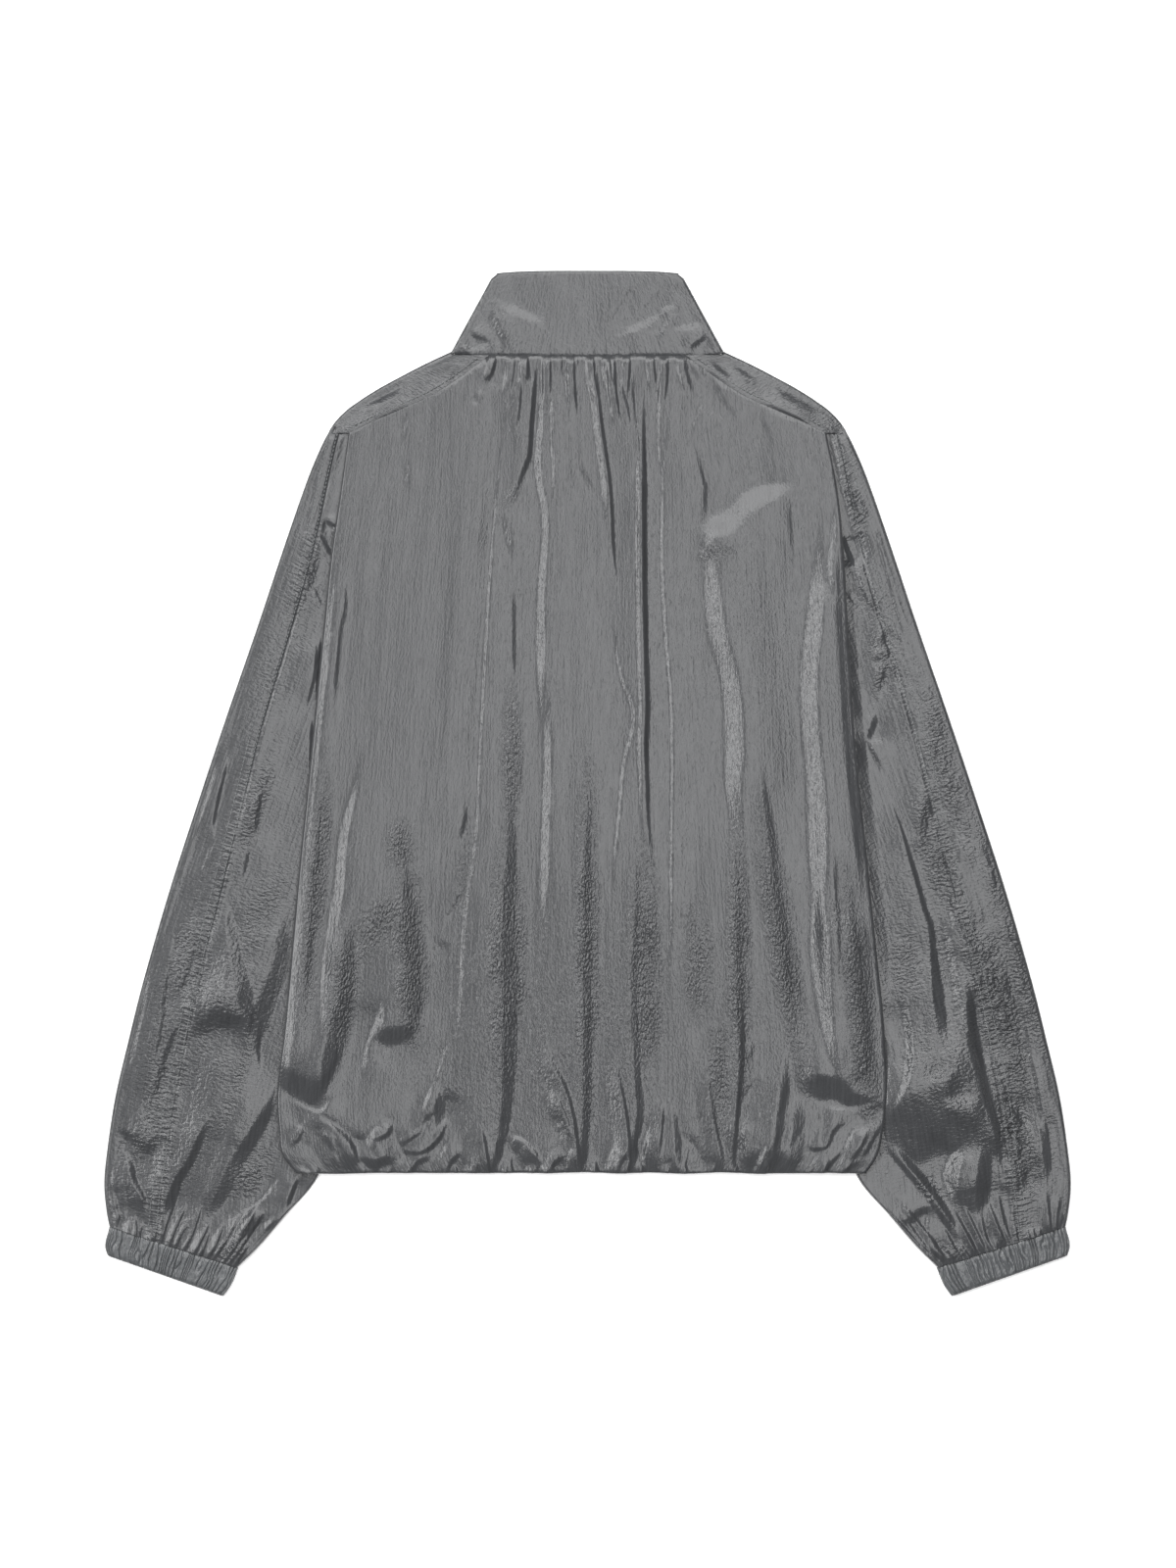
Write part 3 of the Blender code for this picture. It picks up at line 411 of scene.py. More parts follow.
RIGHT_SLEEVE_FOLDS = [
    Fold(-0.24, (7, 8, 9, 14, 13, 9), [(207, 246), (212, 190), (216, 128), (223, 32), (234, -64),
                                       (241, -128), (247, -205), (249, -262)]),
    Fold(0.35, (3,), [(230, 236), (236, 216), (238, 195), (243, 175), (248, 158), (254, 135),
                      (263, 106)]),
    Fold(-1.0, (6,), [(207, 206), (213, 190), (220, 173)]),
    Fold(0.5, (4,), [(218, 188), (222, 165), (228, 150), (235, 141), (245, 138)]),
    Fold(-0.5, (3,), [(208, 158), (216, 150), (225, 139)]),
    Fold(-0.5, (4,), [(247, 131), (237, 107)]),
    Fold(-0.5, (4,), [(251, 109), (240, 103), (229, 99)]),
    Fold(-0.35, (7,), [(247, 105), (240, 85), (234, 66)]),
    Fold(-0.4, (6,), [(238, 62), (233, 45), (226, 30)]),
    Fold(0.6, (4,), [(226, 40), (234, 24), (242, 8)]),
    Fold(-0.7, (3, 3.5, 4, 6, 14, 20), [(239, 16), (250, -20), (257, -38), (262, -55), (268, -75),
                                        (275, -100), (281, -120), (283, -140), (285, -160), (287, -180),
                                        (289, -200), (292, -240)]),
    Fold(0.45, (8, 10, 10, 8), [(287, -94), (292, -120), (297, -140), (300, -160), (303, -180),
                                (305, -200), (310, -226)]),
    Fold(-0.35, (5, 8, 7), [(284, 2), (277, -20), (275, -40), (279, -66)]),
    Fold(0.42, (9,), [(296, -30), (300, -60), (298, -90), (297, -130)]),
    Fold(0.46, (6, 8, 8, 6), [(254, -160), (262, -200), (263, -220), (260, -240), (255, -255),
                              (242, -278)]),
    Fold(-0.4, (2.6,), [(298, -166), (305, -195), (310, -210), (315, -228), (322, -244)]),
    Fold(-0.6, (6, 10, 9, 7, 6, 5), [(308, -140), (312, -180), (315, -205), (320, -230), (326, -255),
                                     (332, -275), (337, -300), (340, -325), (341, -356)]),
    Fold(-0.4, (7, 9, 9, 8), [(331, -152), (316, -170), (314, -190), (318, -215), (325, -247)]),
    Fold(-0.35, (12, 14, 12), [(331, -244), (338, -275), (344, -306)]),
    Fold(-0.19, (10, 28, 50, 66, 68, 50), [(346, -296), (326, -288), (305, -283), (282, -281),
                                           (262, -282), (222, -288)]),
    Fold(0.42, (8,), [(300, -222), (290, -236), (272, -247)]),
    Fold(0.36, (8, 14, 8), [(326, -254), (305, -260), (282, -258)]),
    Fold(0.46, (8, 15, 12), [(312, -288), (297, -318), (300, -352)]),
    Fold(-0.4, (9, 14, 10), [(322, -284), (324, -318), (318, -362)]),
    Fold(-0.4, (6,), [(341, -254), (352, -275), (361, -290)]),
    Fold(-0.35, (14,), [(351, -300), (355, -340)]),
    Fold(-0.3, (8,), [(370, -262), (375, -300), (374, -338)]),
    Fold(0.45, (3,), [(341, -120), (345, -140), (352, -180), (360, -215), (366, -245), (372, -280),
                      (377, -310)]),
    Fold(0.6, (5,), [(239, -291), (255, -310), (268, -325), (280, -340), (290, -355), (303, -380)]),
    Fold(-0.7, (6,), [(246, -290), (260, -307), (273, -322), (285, -337), (295, -352), (306, -372)]),
    Fold(-0.4, (8,), [(288, -354), (278, -348), (270, -351), (262, -357), (248, -357)]),
    Fold(0.5, (3.5,), [(263, -372), (280, -382), (297, -394)]),
    Fold(-0.5, (4,), [(276, -372), (290, -383), (301, -390)]),
    Fold(-0.6, (3,), [(295, -338), (305, -358), (312, -370), (323, -389)]),
]

COLLAR_FOLDS = [
    Fold(0.2, (5, 8, 9, 8), [(-30, 366), (-40, 377), (-52, 383), (-65, 389), (-80, 398)]),
    Fold(0.3, (5,), [(-79, 390), (-75, 375), (-70, 365), (-66, 354)]),
    Fold(-0.45, (4.5,), [(-76, 359), (-88, 364), (-100, 368)]),
    Fold(-0.5, (3,), [(-107, 364), (-97, 355), (-92, 348)]),
    Fold(-0.34, (2,), [(45, 418), (35, 403), (28, 393), (22, 383), (17, 372), (13, 361)]),
    Fold(-0.3, (2.4,), [(72, 412), (60, 402), (52, 395), (45, 388), (29, 385)]),
    Fold(-0.3, (2.4,), [(82, 414), (74, 406), (64, 399)]),
    Fold(0.22, (7,), [(81, 397), (65, 388), (50, 377), (35, 370), (19, 361)]),
    Fold(0.3, (5,), [(69, 388), (62, 372), (56, 359)]),
    Fold(0.24, (5,), [(100, 379), (85, 373), (72, 370), (63, 360)]),
    Fold(-0.5, (4.5,), [(107, 371), (97, 365), (88, 358), (76, 351)]),
]

STRIP_FOLDS = {
    -1: [
        Fold(0.35, (7,), [(-140, 327), (-160, 318), (-192, 303)]),
        Fold(-0.3, (6,), [(-104, 345), (-120, 338), (-136, 333)]),
        Fold(-0.3, (5,), [(-92, 346), (-104, 338), (-118, 331)]),
    ],
    1: [
        Fold(0.28, (14,), [(196, 300), (170, 315), (146, 329)]),
        Fold(-0.35, (5,), [(97, 348), (108, 338), (122, 328)]),
        Fold(-0.3, (5,), [(112, 347), (126, 337), (142, 326)]),
    ],
}

# Short gathers under the neck seam, and above the hem: place, length, and how far the free end leans
Gather = namedtuple("Gather", "x length lean")
NECK_GATHERS = [
    Gather(-79, 9, -3), Gather(-75, 24, -8), Gather(-66, 7, -1), Gather(-60, 34, -5), Gather(-57, 8, 2),
    Gather(-49, 28, -3), Gather(-45, 6, 1), Gather(-31, 44, 0), Gather(-26, 10, 2), Gather(-21, 18, -2),
    Gather(-17, 7, 1), Gather(-12, 52, 3), Gather(-8, 12, -2), Gather(1, 9, 2), Gather(4, 40, 5),
    Gather(14, 8, -1), Gather(17, 30, 4), Gather(21, 60, 6), Gather(26, 7, 1), Gather(31, 12, -2),
    Gather(34, 38, -3), Gather(39, 8, 1), Gather(53, 30, 4), Gather(56, 7, -1), Gather(62, 14, 1),
    Gather(65, 44, -4), Gather(71, 8, 2), Gather(78, 34, 9), Gather(82, 10, 3), Gather(88, 22, 11),
]
HEM_GATHERS = [
    Gather(-224, 9, 5), Gather(-178, 12, -6), Gather(-166, 8, 5), Gather(-146, 14, 6), Gather(-104, 10, -5),
    Gather(-93, 18, 3), Gather(-70, 12, 5), Gather(-60, 16, -4), Gather(-48, 9, 6), Gather(-25, 10, -5),
    Gather(3, 14, 4), Gather(12, 9, -6), Gather(27, 12, 7), Gather(46, 16, -4), Gather(62, 9, 5),
    Gather(83, 14, -5), Gather(98, 10, 6), Gather(124, 12, -4), Gather(141, 16, 8), Gather(176, 10, 7),
    Gather(188, 16, 9), Gather(206, 12, 8),
]

# Places where the cloth is finely crumpled, which also sets its painted shade: centre, half sizes, lean to
# the right at the top, strength
Crumple = namedtuple("Crumple", "x y half_wide half_long lean strength")
BACK_CRUMPLES = [
    Crumple(-65, -150, 24, 150, 0.0, 1.3),
    Crumple(-62, 20, 12, 80, 0.0, 0.9),
    Crumple(0, -140, 15, 200, 0.0, 1.2),
    Crumple(48, -150, 20, 130, -0.03, 1.3),
    Crumple(90, -150, 20, 80, 0.0, 0.9),
    Crumple(108, -238, 16, 70, 0.0, 0.9),
    Crumple(124, -150, 14, 170, -0.02, 1.1),
    Crumple(159, -130, 18, 150, -0.16, 1.2),
    Crumple(104, 188, 20, 10, 0.6, 1.0),
    Crumple(222, -180, 16, 130, -0.1, 1.2),
    Crumple(203, -112, 8, 24, -0.1, 0.5),
    Crumple(-222, -100, 12, 150, 0.09, 1.1),
    Crumple(-199, -165, 18, 80, 0.1, 1.0),
    Crumple(-152, -50, 18, 30, 0.0, 0.9),
    Crumple(-172, -115, 26, 40, 0.5, 0.9),
    Crumple(-145, -140, 20, 110, -0.03, 1.2),
    Crumple(-62, 235, 8, 14, 0.4, 0.7),
    Crumple(-100, -70, 12, 60, 0.1, 0.5),
    Crumple(0, -200, 260, 140, 0.0, 0.22),
]
SLEEVE_CRUMPLES = {
    -1: [
        Crumple(-226, 176, 10, 30, 0.2, 1.0),
        Crumple(-272, -20, 14, 90, 0.3, 0.7),
        Crumple(-266, -105, 34, 70, 0.2, 0.6),
        Crumple(-330, -150, 22, 140, 0.3, 0.7),
        Crumple(-350, -250, 22, 120, 0.25, 0.7),
        Crumple(-300, -175, 20, 16, 0.0, 0.9),
        Crumple(-288, -250, 12, 60, 0.35, 0.7),
        Crumple(-275, -318, 22, 30, 0.5, 0.8),
        Crumple(-290, -380, 18, 14, 0.4, 0.8),
        Crumple(-305, -190, 90, 230, 0.28, 0.35),
        Crumple(-245, 120, 30, 110, 0.3, 0.35),
    ],
    1: [
        Crumple(218, 232, 9, 26, -0.5, 1.0),
        Crumple(240, 90, 9, 40, 0.2, 0.9),
        Crumple(288, 20, 20, 120, -0.3, 0.9),
        Crumple(284, -50, 22, 80, -0.2, 1.1),
        Crumple(312, -130, 18, 40, -0.2, 1.2),
        Crumple(336, -185, 24, 110, -0.25, 1.7),
        Crumple(350, -130, 22, 150, -0.28, 1.0),
        Crumple(262, -150, 22, 50, 0.0, 0.9),
        Crumple(300, -262, 22, 12, 0.0, 0.9),
        Crumple(352, -290, 24, 60, -0.2, 1.5),
        Crumple(285, -335, 18, 22, -0.6, 0.9),
        Crumple(300, -380, 18, 10, -0.3, 0.9),
        Crumple(305, -200, 80, 200, -0.28, 0.45),
        Crumple(245, 110, 30, 120, -0.3, 0.4),
    ],
}

SLEEVE_CRUMPLING = {-1: 0.35, 1: 0.8}  # how high the crumpling of each sleeve stands

# How strongly the sleeve's long seam puckers, from the shoulder down
Pucker = namedtuple("Pucker", "y strength")
SEAM_PUCKERS = {
    -1: [
        Pucker(290, 0.2), Pucker(214, 0.3), Pucker(200, 1.0), Pucker(150, 1.0), Pucker(138, 0.1),
        Pucker(60, 0.15), Pucker(20, 0.6), Pucker(-120, 0.9), Pucker(-340, 1.0), Pucker(-380, 0.6),
    ],
    1: [
        Pucker(290, 0.3), Pucker(262, 0.8), Pucker(250, 1.0), Pucker(212, 1.0), Pucker(200, 0.15),
        Pucker(90, 0.1), Pucker(0, 0.4), Pucker(-110, 0.8), Pucker(-200, 1.0), Pucker(-340, 1.0),
        Pucker(-380, 0.6),
    ],
}
PUCKER_PITCH = 4.6
PUCKER_REACH = 9.0
PUCKER_RISE = 0.5

# Sections along one stitch: share of its length, and its thickness and lift as shares of the full ones
Section = namedtuple("Section", "share thick lift")
STITCH_SECTIONS = [
    Section(0.0, 0.45, -0.25),
    Section(0.2, 1.0, 0.6),
    Section(0.5, 1.05, 1.0),
    Section(0.8, 1.0, 0.6),
    Section(1.0, 0.45, -0.25),
]

# Softboxes: place and size in metres, power in watts, and the place that each one faces
Softbox = namedtuple("Softbox", "name place size power faces")
SOFTBOXES = [
    Softbox("overhead_softbox", (0.475, 0.025, 3.5), (1.95, 2.55), 56.5, (0.475, 0.025, 0.0)),
    Softbox("dim_overhead_softbox", (-0.875, 0.025, 3.5), (0.75, 2.55), 1.2, (-0.875, 0.025, 0.0)),
    Softbox("fill_softbox", (-1.85, 0.025, 3.5), (1.2, 2.55), 12.0, (-1.85, 0.025, 0.0)),
    Softbox("left_softbox", (-3.0, 0.65, 3.2), (4.0, 1.2), 120.0, (0.0, 0.0, 0.0)),
    Softbox("top_softbox", (0.0, 2.33, 3.4), (4.0, 1.9), 122.0, (0.0, 0.0, 0.0)),
]
ROOM_LIGHT = 0.07
FLOOR_HALF = 4.0  # half width of the floor, in metres
FLOOR_GLOW = 0.35


def smooth(t):
    """Goes from 0 to 1 with level ends."""
    t = np.clip(t, 0.0, 1.0)
    return t * t * (3.0 - 2.0 * t)


def curve(xs, ys, at):
    """A smooth line through the points (xs, ys), read at the places at.  xs rise."""
    xs, ys = np.asarray(xs, float), np.asarray(ys, float)
    at = np.clip(np.asarray(at, float), xs[0], xs[-1])
    slope = np.gradient(ys, xs)
    i = np.clip(np.searchsorted(xs, at) - 1, 0, len(xs) - 2)
    step = xs[i + 1] - xs[i]
    t = (at - xs[i]) / step
    start = (1 + 2 * t) * (1 - t) ** 2 * ys[i] + t * (1 - t) ** 2 * step * slope[i]
    end = t * t * (3 - 2 * t) * ys[i + 1] + t * t * (t - 1) * step * slope[i + 1]
    return start + end


def column(rows, name):
    return [getattr(row, name) for row in rows]


def body_edge(side, y):
    """X of the back's side edge; side is -1 for the left and 1 for the right."""
    name = "left" if side < 0 else "right"
    return curve(column(BODY_EDGES, "y"), column(BODY_EDGES, name), y)


def sleeve_inner_x(y):
    """X of a sleeve's inner edge, which is the armhole above the armpit and the fold below it."""
    rows = SLEEVE[::-1]
    return np.interp(y, column(rows, "inner_y"), column(rows, "inner_x"))


def neck_seam_y(x):
    return NECK_Y + NECK_RISE * (np.abs(x) / COLLAR_FOOT) ** 4


def shoulder_seam_y(x):
    return curve(column(SHOULDER_SEAM, "x"), column(SHOULDER_SEAM, "y"), x)


def front_neck_y(x):
    """The front neck seam: low at the zip, and meeting the back one at the sides."""
    t = np.abs(x) / COLLAR_FOOT
    return neck_seam_y(COLLAR_FOOT) - FRONT_NECK_DROP * (1.0 - t * t)


def spaced(count, places, weights):
    """Values from 0 to 1, closer together where the weight is large."""
    fine = np.linspace(0.0, 1.0, 500)
    total = np.cumsum(np.interp(fine, places, weights))
    total = (total - total[0]) / (total[-1] - total[0])
    return np.interp(np.linspace(0.0, 1.0, count), total, fine)


def uneven(x, y, cell_x, cell_y, seed):
    """Smooth random heights from -1 to 1 that change over about cell_x by cell_y."""
    size = 128
    table = np.random.default_rng(seed).uniform(-1.0, 1.0, (size, size))
    u, v = x / cell_x, y / cell_y
    i, j = np.floor(u).astype(int), np.floor(v).astype(int)
    s, t = smooth(u - i), smooth(v - j)
    near = table[i % size, j % size] * (1 - s) + table[(i + 1) % size, j % size] * s
    far = table[i % size, (j + 1) % size] * (1 - s) + table[(i + 1) % size, (j + 1) % size] * s
    return near * (1 - t) + far * t


def run_along(points):
    """Distance along a line of points, from 0 at its start."""
    return np.concatenate([[0.0], np.cumsum(np.linalg.norm(np.diff(points, axis=0), axis=1))])


def smooth_line(points, step=4.0):
    """A smooth curve through hand-placed points, as points about step apart, and its length."""
    points = np.array(points, float)
    run = run_along(points)
    at = np.linspace(0.0, run[-1], max(3, int(run[-1] / step) + 1))
    return np.stack([curve(run, points[:, 0], at), curve(run, points[:, 1], at)], axis=1), run[-1]


def beside_line(line, x, y):
    """For each place, its distance to the right of a line that runs down, and its share of the way."""
    step = np.diff(line, axis=0)
    dx = x[:, None] - line[:-1, 0]
    dy = y[:, None] - line[:-1, 1]
    t = np.clip((dx * step[:, 0] + dy * step[:, 1]) / (step**2).sum(axis=1), 0.0, 1.0)
    gap = np.hypot(dx - t * step[:, 0], dy - t * step[:, 1])
    best = gap.argmin(axis=1)
    here = np.arange(len(x)), best
    side = np.sign(step[best, 0] * dy[here] - step[best, 1] * dx[here])
    return side * gap[here], (best + t[here]) / len(step)


def fold_heights(folds, x, y):
    """Height that the folds add at each place: a slope across each fold, and a slow return to level."""
    height = np.zeros(x.shape)
    for fold in folds:
        line, length = smooth_line(fold.points)
        recover = min(RECOVER * max(fold.width) + RECOVER_MORE, RECOVER_MOST, 0.5 * length)
        reach = 0.5 * max(fold.width) + recover
        low, high = line.min(axis=0) - reach, line.max(axis=0) + reach
        near = (x > low[0]) & (x < high[0]) & (y > low[1]) & (y < high[1])
        if not near.any():
            continue
        away, share = beside_line(line, x[near], y[near])
        half = 0.5 * np.interp(share, np.linspace(0.0, 1.0, len(fold.width)), fold.width)
        fade = max(min(FADE, SHORT_FADE * length), LONG_FADE * length)
        ends = smooth(share * length / fade) * smooth((1.0 - share) * length / fade)
        half = half * (END_WIDTH + (1.0 - END_WIDTH) * ends)
        t = np.clip(away / half, -1.0, 1.0)
        power = ROUND_SIDE if fold.slope > 0.0 else CRISP_SIDE
        level = 1.0 - smooth((np.abs(away) - half) / recover)
        lift = np.maximum(0.86 * abs(fold.slope) * half - SINK, 0.0)
        height[near] += (fold.slope * half * (t - t**power / power) + lift) * ends * level
    return height


def crease_heights(folds, x, y):
    """Height that sharp creases add: a steep side as wide as each fold says, and a wider gentle side."""
    height = np.zeros(x.shape)
    for fold in folds:
        line, length = smooth_line(fold.points, 3.0)
        reach = GENTLE * max(fold.width)
        low, high = line.min(axis=0) - reach, line.max(axis=0) + reach
        near = (x > low[0]) & (x < high[0]) & (y > low[1]) & (y < high[1])
        if not near.any():
            continue
        away, share = beside_line(line, x[near], y[near])
        steep = np.interp(share, np.linspace(0.0, 1.0, len(fold.width)), fold.width)
        ends = smooth(share / CREASE_FADE) * smooth((1.0 - share) / CREASE_FADE)
        flank = np.where(away * fold.slope < 0.0, steep, GENTLE * steep)
        height[near] += abs(fold.slope) * steep * np.clip(1.0 - np.abs(away) / flank, 0.0, 1.0) * ends
    return height


def crumple_share(places, x, y):
    """How crumpled the cloth is at each place: 0 is smooth, and 1 is well crumpled.  As the crumple
    attribute it also sets how dark the painted shade in the crinkle's valleys is.
    """
    share = np.zeros(x.shape)
    for place in places:
        along = (y - place.y) / place.half_long
        across = (x - place.x - place.lean * (y - place.y)) / place.half_wide
        share = np.maximum(share, place.strength * (1.0 - smooth(np.hypot(across, along))))
    return share * (0.65 + 0.35 * uneven(x, y, 13.0, 21.0, SEED["crumpled places"]))


def crumple_heights(share, x, y, seed):
    """Crumpling with sharp creases, as high as the share says."""
    fine = 1.1 * np.abs(uneven(x, y, 5.0, 6.0, seed))
    coarse = 2.0 * np.abs(uneven(x, y, 10.0, 15.0, seed + 1))
    return share * (fine + coarse - 1.0)


def facet_heights(share, x, y, seed):
    """Angular facets with sharp creases between them, as high as the share says."""
    wide = np.abs(uneven(x + 0.5 * y, y, 24.0, 34.0, seed))
    narrow = np.abs(uneven(x - 0.6 * y, y, 13.0, 19.0, seed + 1))
    return share * (4.0 * wide + 1.5 * narrow - 1.8)


def grain_heights(u, v, seed):
    """The soft lengthwise waves of thin nylon; u runs across the cloth and v along it."""
    wide = 0.5 * uneven(u, v, 26.0, 210.0, seed)
    middle = 0.2 * uneven(u, v, 11.0, 120.0, seed + 1)
    fine = 0.06 * uneven(u, v, 4.6, 60.0, seed + 2)
    return wide + middle + fine


# Materials


def linear(code):
    """An sRGB hex colour as linear red, green, blue and alpha."""
    parts = [int(code[i : i + 2], 16) / 255.0 for i in (1, 3, 5)]
    return (*(c / 12.92 if c <= 0.04045 else ((c + 0.055) / 1.055) ** 2.4 for c in parts), 1.0)


def add(tree, kind, values=None, links=None, **settings):
    """A node of this kind with its settings, input values and links."""
    node = tree.nodes.new(kind)
    for name, value in settings.items():
        setattr(node, name, value)
    for name, value in (values or {}).items():
        node.inputs[name].default_value = value
    for name, source in (links or {}).items():
        tree.links.new(source, node.inputs[name])
    return node


def empty_material(name):
    made = bpy.data.materials.new(name)
    made.use_nodes = True
    tree = made.node_tree
    return made, tree, tree.nodes["Principled BSDF"]


def per_metre(across, along):
    """Texture scale for a pattern of this size in millimetres."""
    return (1000.0 / across, 1000.0 / along, 1.0)


def crinkled_nylon(name, light, dark, streak, crinkle_size, roughness):
    """Nylon taffeta, woven from fine filament and crinkled in the dye bath: a dry half gloss, faint
    lengthwise streaks, and a lively crinkle where it has been crumpled, with painted shade in its valleys."""
    made, tree, shader = empty_material(name)
    place = add(tree, "ShaderNodeTexCoord").outputs["UV"]
    crumple = add(tree, "ShaderNodeAttribute", attribute_name="crumple").outputs["Fac"]
    pucker = add(tree, "ShaderNodeAttribute", attribute_name="pucker").outputs["Fac"]
    noises = []
    for size, values in (
        # The streaks are uneven yarns, 1 to 2 mm wide and 16 to 30 mm long
        (streak, {"Detail": 3.0, "Roughness": 0.55}),
        # The real crinkle is 2 to 4 mm across
        (crinkle_size, {"Detail": 1.0, "Roughness": 0.5, "Distortion": 0.2}),
        # The threads are 0.1 mm apart, drawn at 0.9 mm to show
        ((0.9, 0.9), {"Detail": 0.0}),
        # Rungs of puckered cloth beside a stitched seam, about 3 mm apart
        ((13.0, 2.7), {"Detail": 1.0}),
    ):
        scaled = add(tree, "ShaderNodeMapping", {"Scale": per_metre(*size)}, {"Vector": place})
        noise = add(tree, "ShaderNodeTexNoise", {"Scale": 1.0, **values}, {"Vector": scaled.outputs[0]})
        noises.append(noise.outputs["Fac"])
    streaks, crinkle, weave, rungs = noises
    lively = add(tree, "ShaderNodeMapRange", {"To Min": 0.1, "To Max": 1.1}, {"Value": crumple}).outputs[0]
    crinkle_height = add(tree, "ShaderNodeMath", None, {0: crinkle, 1: lively}, operation="MULTIPLY")
    rung_height = add(tree, "ShaderNodeMath", None, {0: rungs, 1: pucker}, operation="MULTIPLY")
    # Heights in metres, from the finest to the coarsest
    normal = add(tree, "ShaderNodeBump", {"Strength": 0.5, "Distance": 0.00008}, {"Height": weave})
    for height, strength, distance in (
        (streaks, 0.8, 0.00036),
        (rung_height.outputs[0], 1.0, 0.0022),
        (crinkle_height.outputs[0], 1.0, 0.0024),
    ):
        normal = add(tree, "ShaderNodeBump", {"Strength": strength, "Distance": distance},
                     {"Height": height, "Normal": normal.outputs[0]})
    tone = add(tree, "ShaderNodeMapRange", {"From Min": 0.3, "From Max": 0.7}, {"Value": streaks})
    colour = add(tree, "ShaderNodeMix", {"A": linear(dark), "B": linear(light)},
                 {"Factor": tone.outputs[0]}, data_type="RGBA")
    # Painted shade: where the cloth is crumpled, its colour is darkened towards near black in the valleys
    # of the crinkle, as little light reaches them
    painted_valley_shade = add(tree, "ShaderNodeMapRange", {"From Min": 0.5, "From Max": 0.3, "To Max": 0.45},
                 {"Value": crinkle})
    depth = add(tree, "ShaderNodeMath", None, {0: painted_valley_shade.outputs[0], 1: crumple}, operation="MULTIPLY")
    shaded = add(tree, "ShaderNodeMix", {"B": linear("#17181a")},
                 {"Factor": depth.outputs[0], "A": colour.outputs["Result"]}, data_type="RGBA")
    gloss = add(tree, "ShaderNodeMapRange", {"To Min": roughness - 0.05, "To Max": roughness + 0.07},
                {"Value": crinkle})
    tree.links.new(shaded.outputs["Result"], shader.inputs["Base Color"])
    tree.links.new(gloss.outputs[0], shader.inputs["Roughness"])
    tree.links.new(normal.outputs[0], shader.inputs["Normal"])
    shader.inputs["IOR"].default_value = 1.53
    shader.inputs["Sheen Weight"].default_value = 0.12
    shader.inputs["Sheen Roughness"].default_value = 0.45
    return made


def grained(name, grain, detail, dark, light, roughness, strength=0.0, distance=0.0):
    """A material with a grain of this size in millimetres between two colours, raised by its strength."""
    made, tree, shader = empty_material(name)
    place = add(tree, "ShaderNodeTexCoord").outputs["Object"]
    noise = add(tree, "ShaderNodeTexNoise", {"Scale": 1000.0 / grain, "Detail": detail}, {"Vector": place})
    colour = add(tree, "ShaderNodeMix", {"A": linear(dark), "B": linear(light)},
                 {"Factor": noise.outputs["Fac"]}, data_type="RGBA")
    tree.links.new(colour.outputs["Result"], shader.inputs["Base Color"])
    if strength > 0.0:
        bump = add(tree, "ShaderNodeBump", {"Strength": strength, "Distance": distance},
                   {"Height": noise.outputs["Fac"]})
        tree.links.new(bump.outputs[0], shader.inputs["Normal"])
    shader.inputs["Roughness"].default_value = roughness
    return made, shader


def sewing_thread():
    """Spun polyester sewing thread: matt, twisted, a shade lighter than the cloth."""
    # The twist is 0.4 mm long, drawn at 0.8 mm to show
    return grained("polyester_thread", 0.8, 1.0, "#5d5f60", "#8b8d8e", 0.75, 0.6, 0.0002)[0]


def moulded_nylon():
    """Injection-moulded nylon of the zip's teeth and slider: dark, smooth and a little waxy."""
    # Mould texture with a grit of 0.6 mm
    made, shader = grained("moulded_zip_nylon", 0.6, 2.0, "#3c3e3f", "#4a4c4d", 0.38, 0.3, 0.0001)
    shader.inputs["IOR"].default_value = 1.53
    return made


def floor_card():
    """A sheet of opal acrylic lit from below, as under a catalogue photo: even white, faintly toothed."""
    # Surface tooth of 2 mm
    made, shader = grained("opal_acrylic_sheet", 2.0, 2.0, "#f4f4f4", "#fafafa", 0.9)
    shader.inputs["Emission Color"].default_value = linear("#ffffff")
    shader.inputs["Emission Strength"].default_value = FLOOR_GLOW
    return made


# The sleeves are cut from the same cloth, and their crinkle runs across them
GREY = ("#47484a", "#3a3b3d")
# Painted light: the cuffs are the same nylon, given this paler copy of its grey to brighten them where the
# grooves between their ribs shade them
GREY_WITH_PAINTED_LIGHT = ("#5b5d5f", "#4e5052")
NYLON = crinkled_nylon("crinkled_nylon_taffeta", *GREY, (2.2, 30.0), (1.7, 3.4), 0.2)
SLEEVE_NYLON = crinkled_nylon("crosswise_crinkled_nylon", *GREY, (2.2, 30.0), (3.4, 2.2), 0.2)
GATHERED_NYLON = crinkled_nylon("gathered_elastic_nylon", *GREY_WITH_PAINTED_LIGHT, (1.4, 16.0), (2.0, 3.8), 0.24)
THREAD = sewing_thread()
ZIP_NYLON = moulded_nylon()


# Meshes


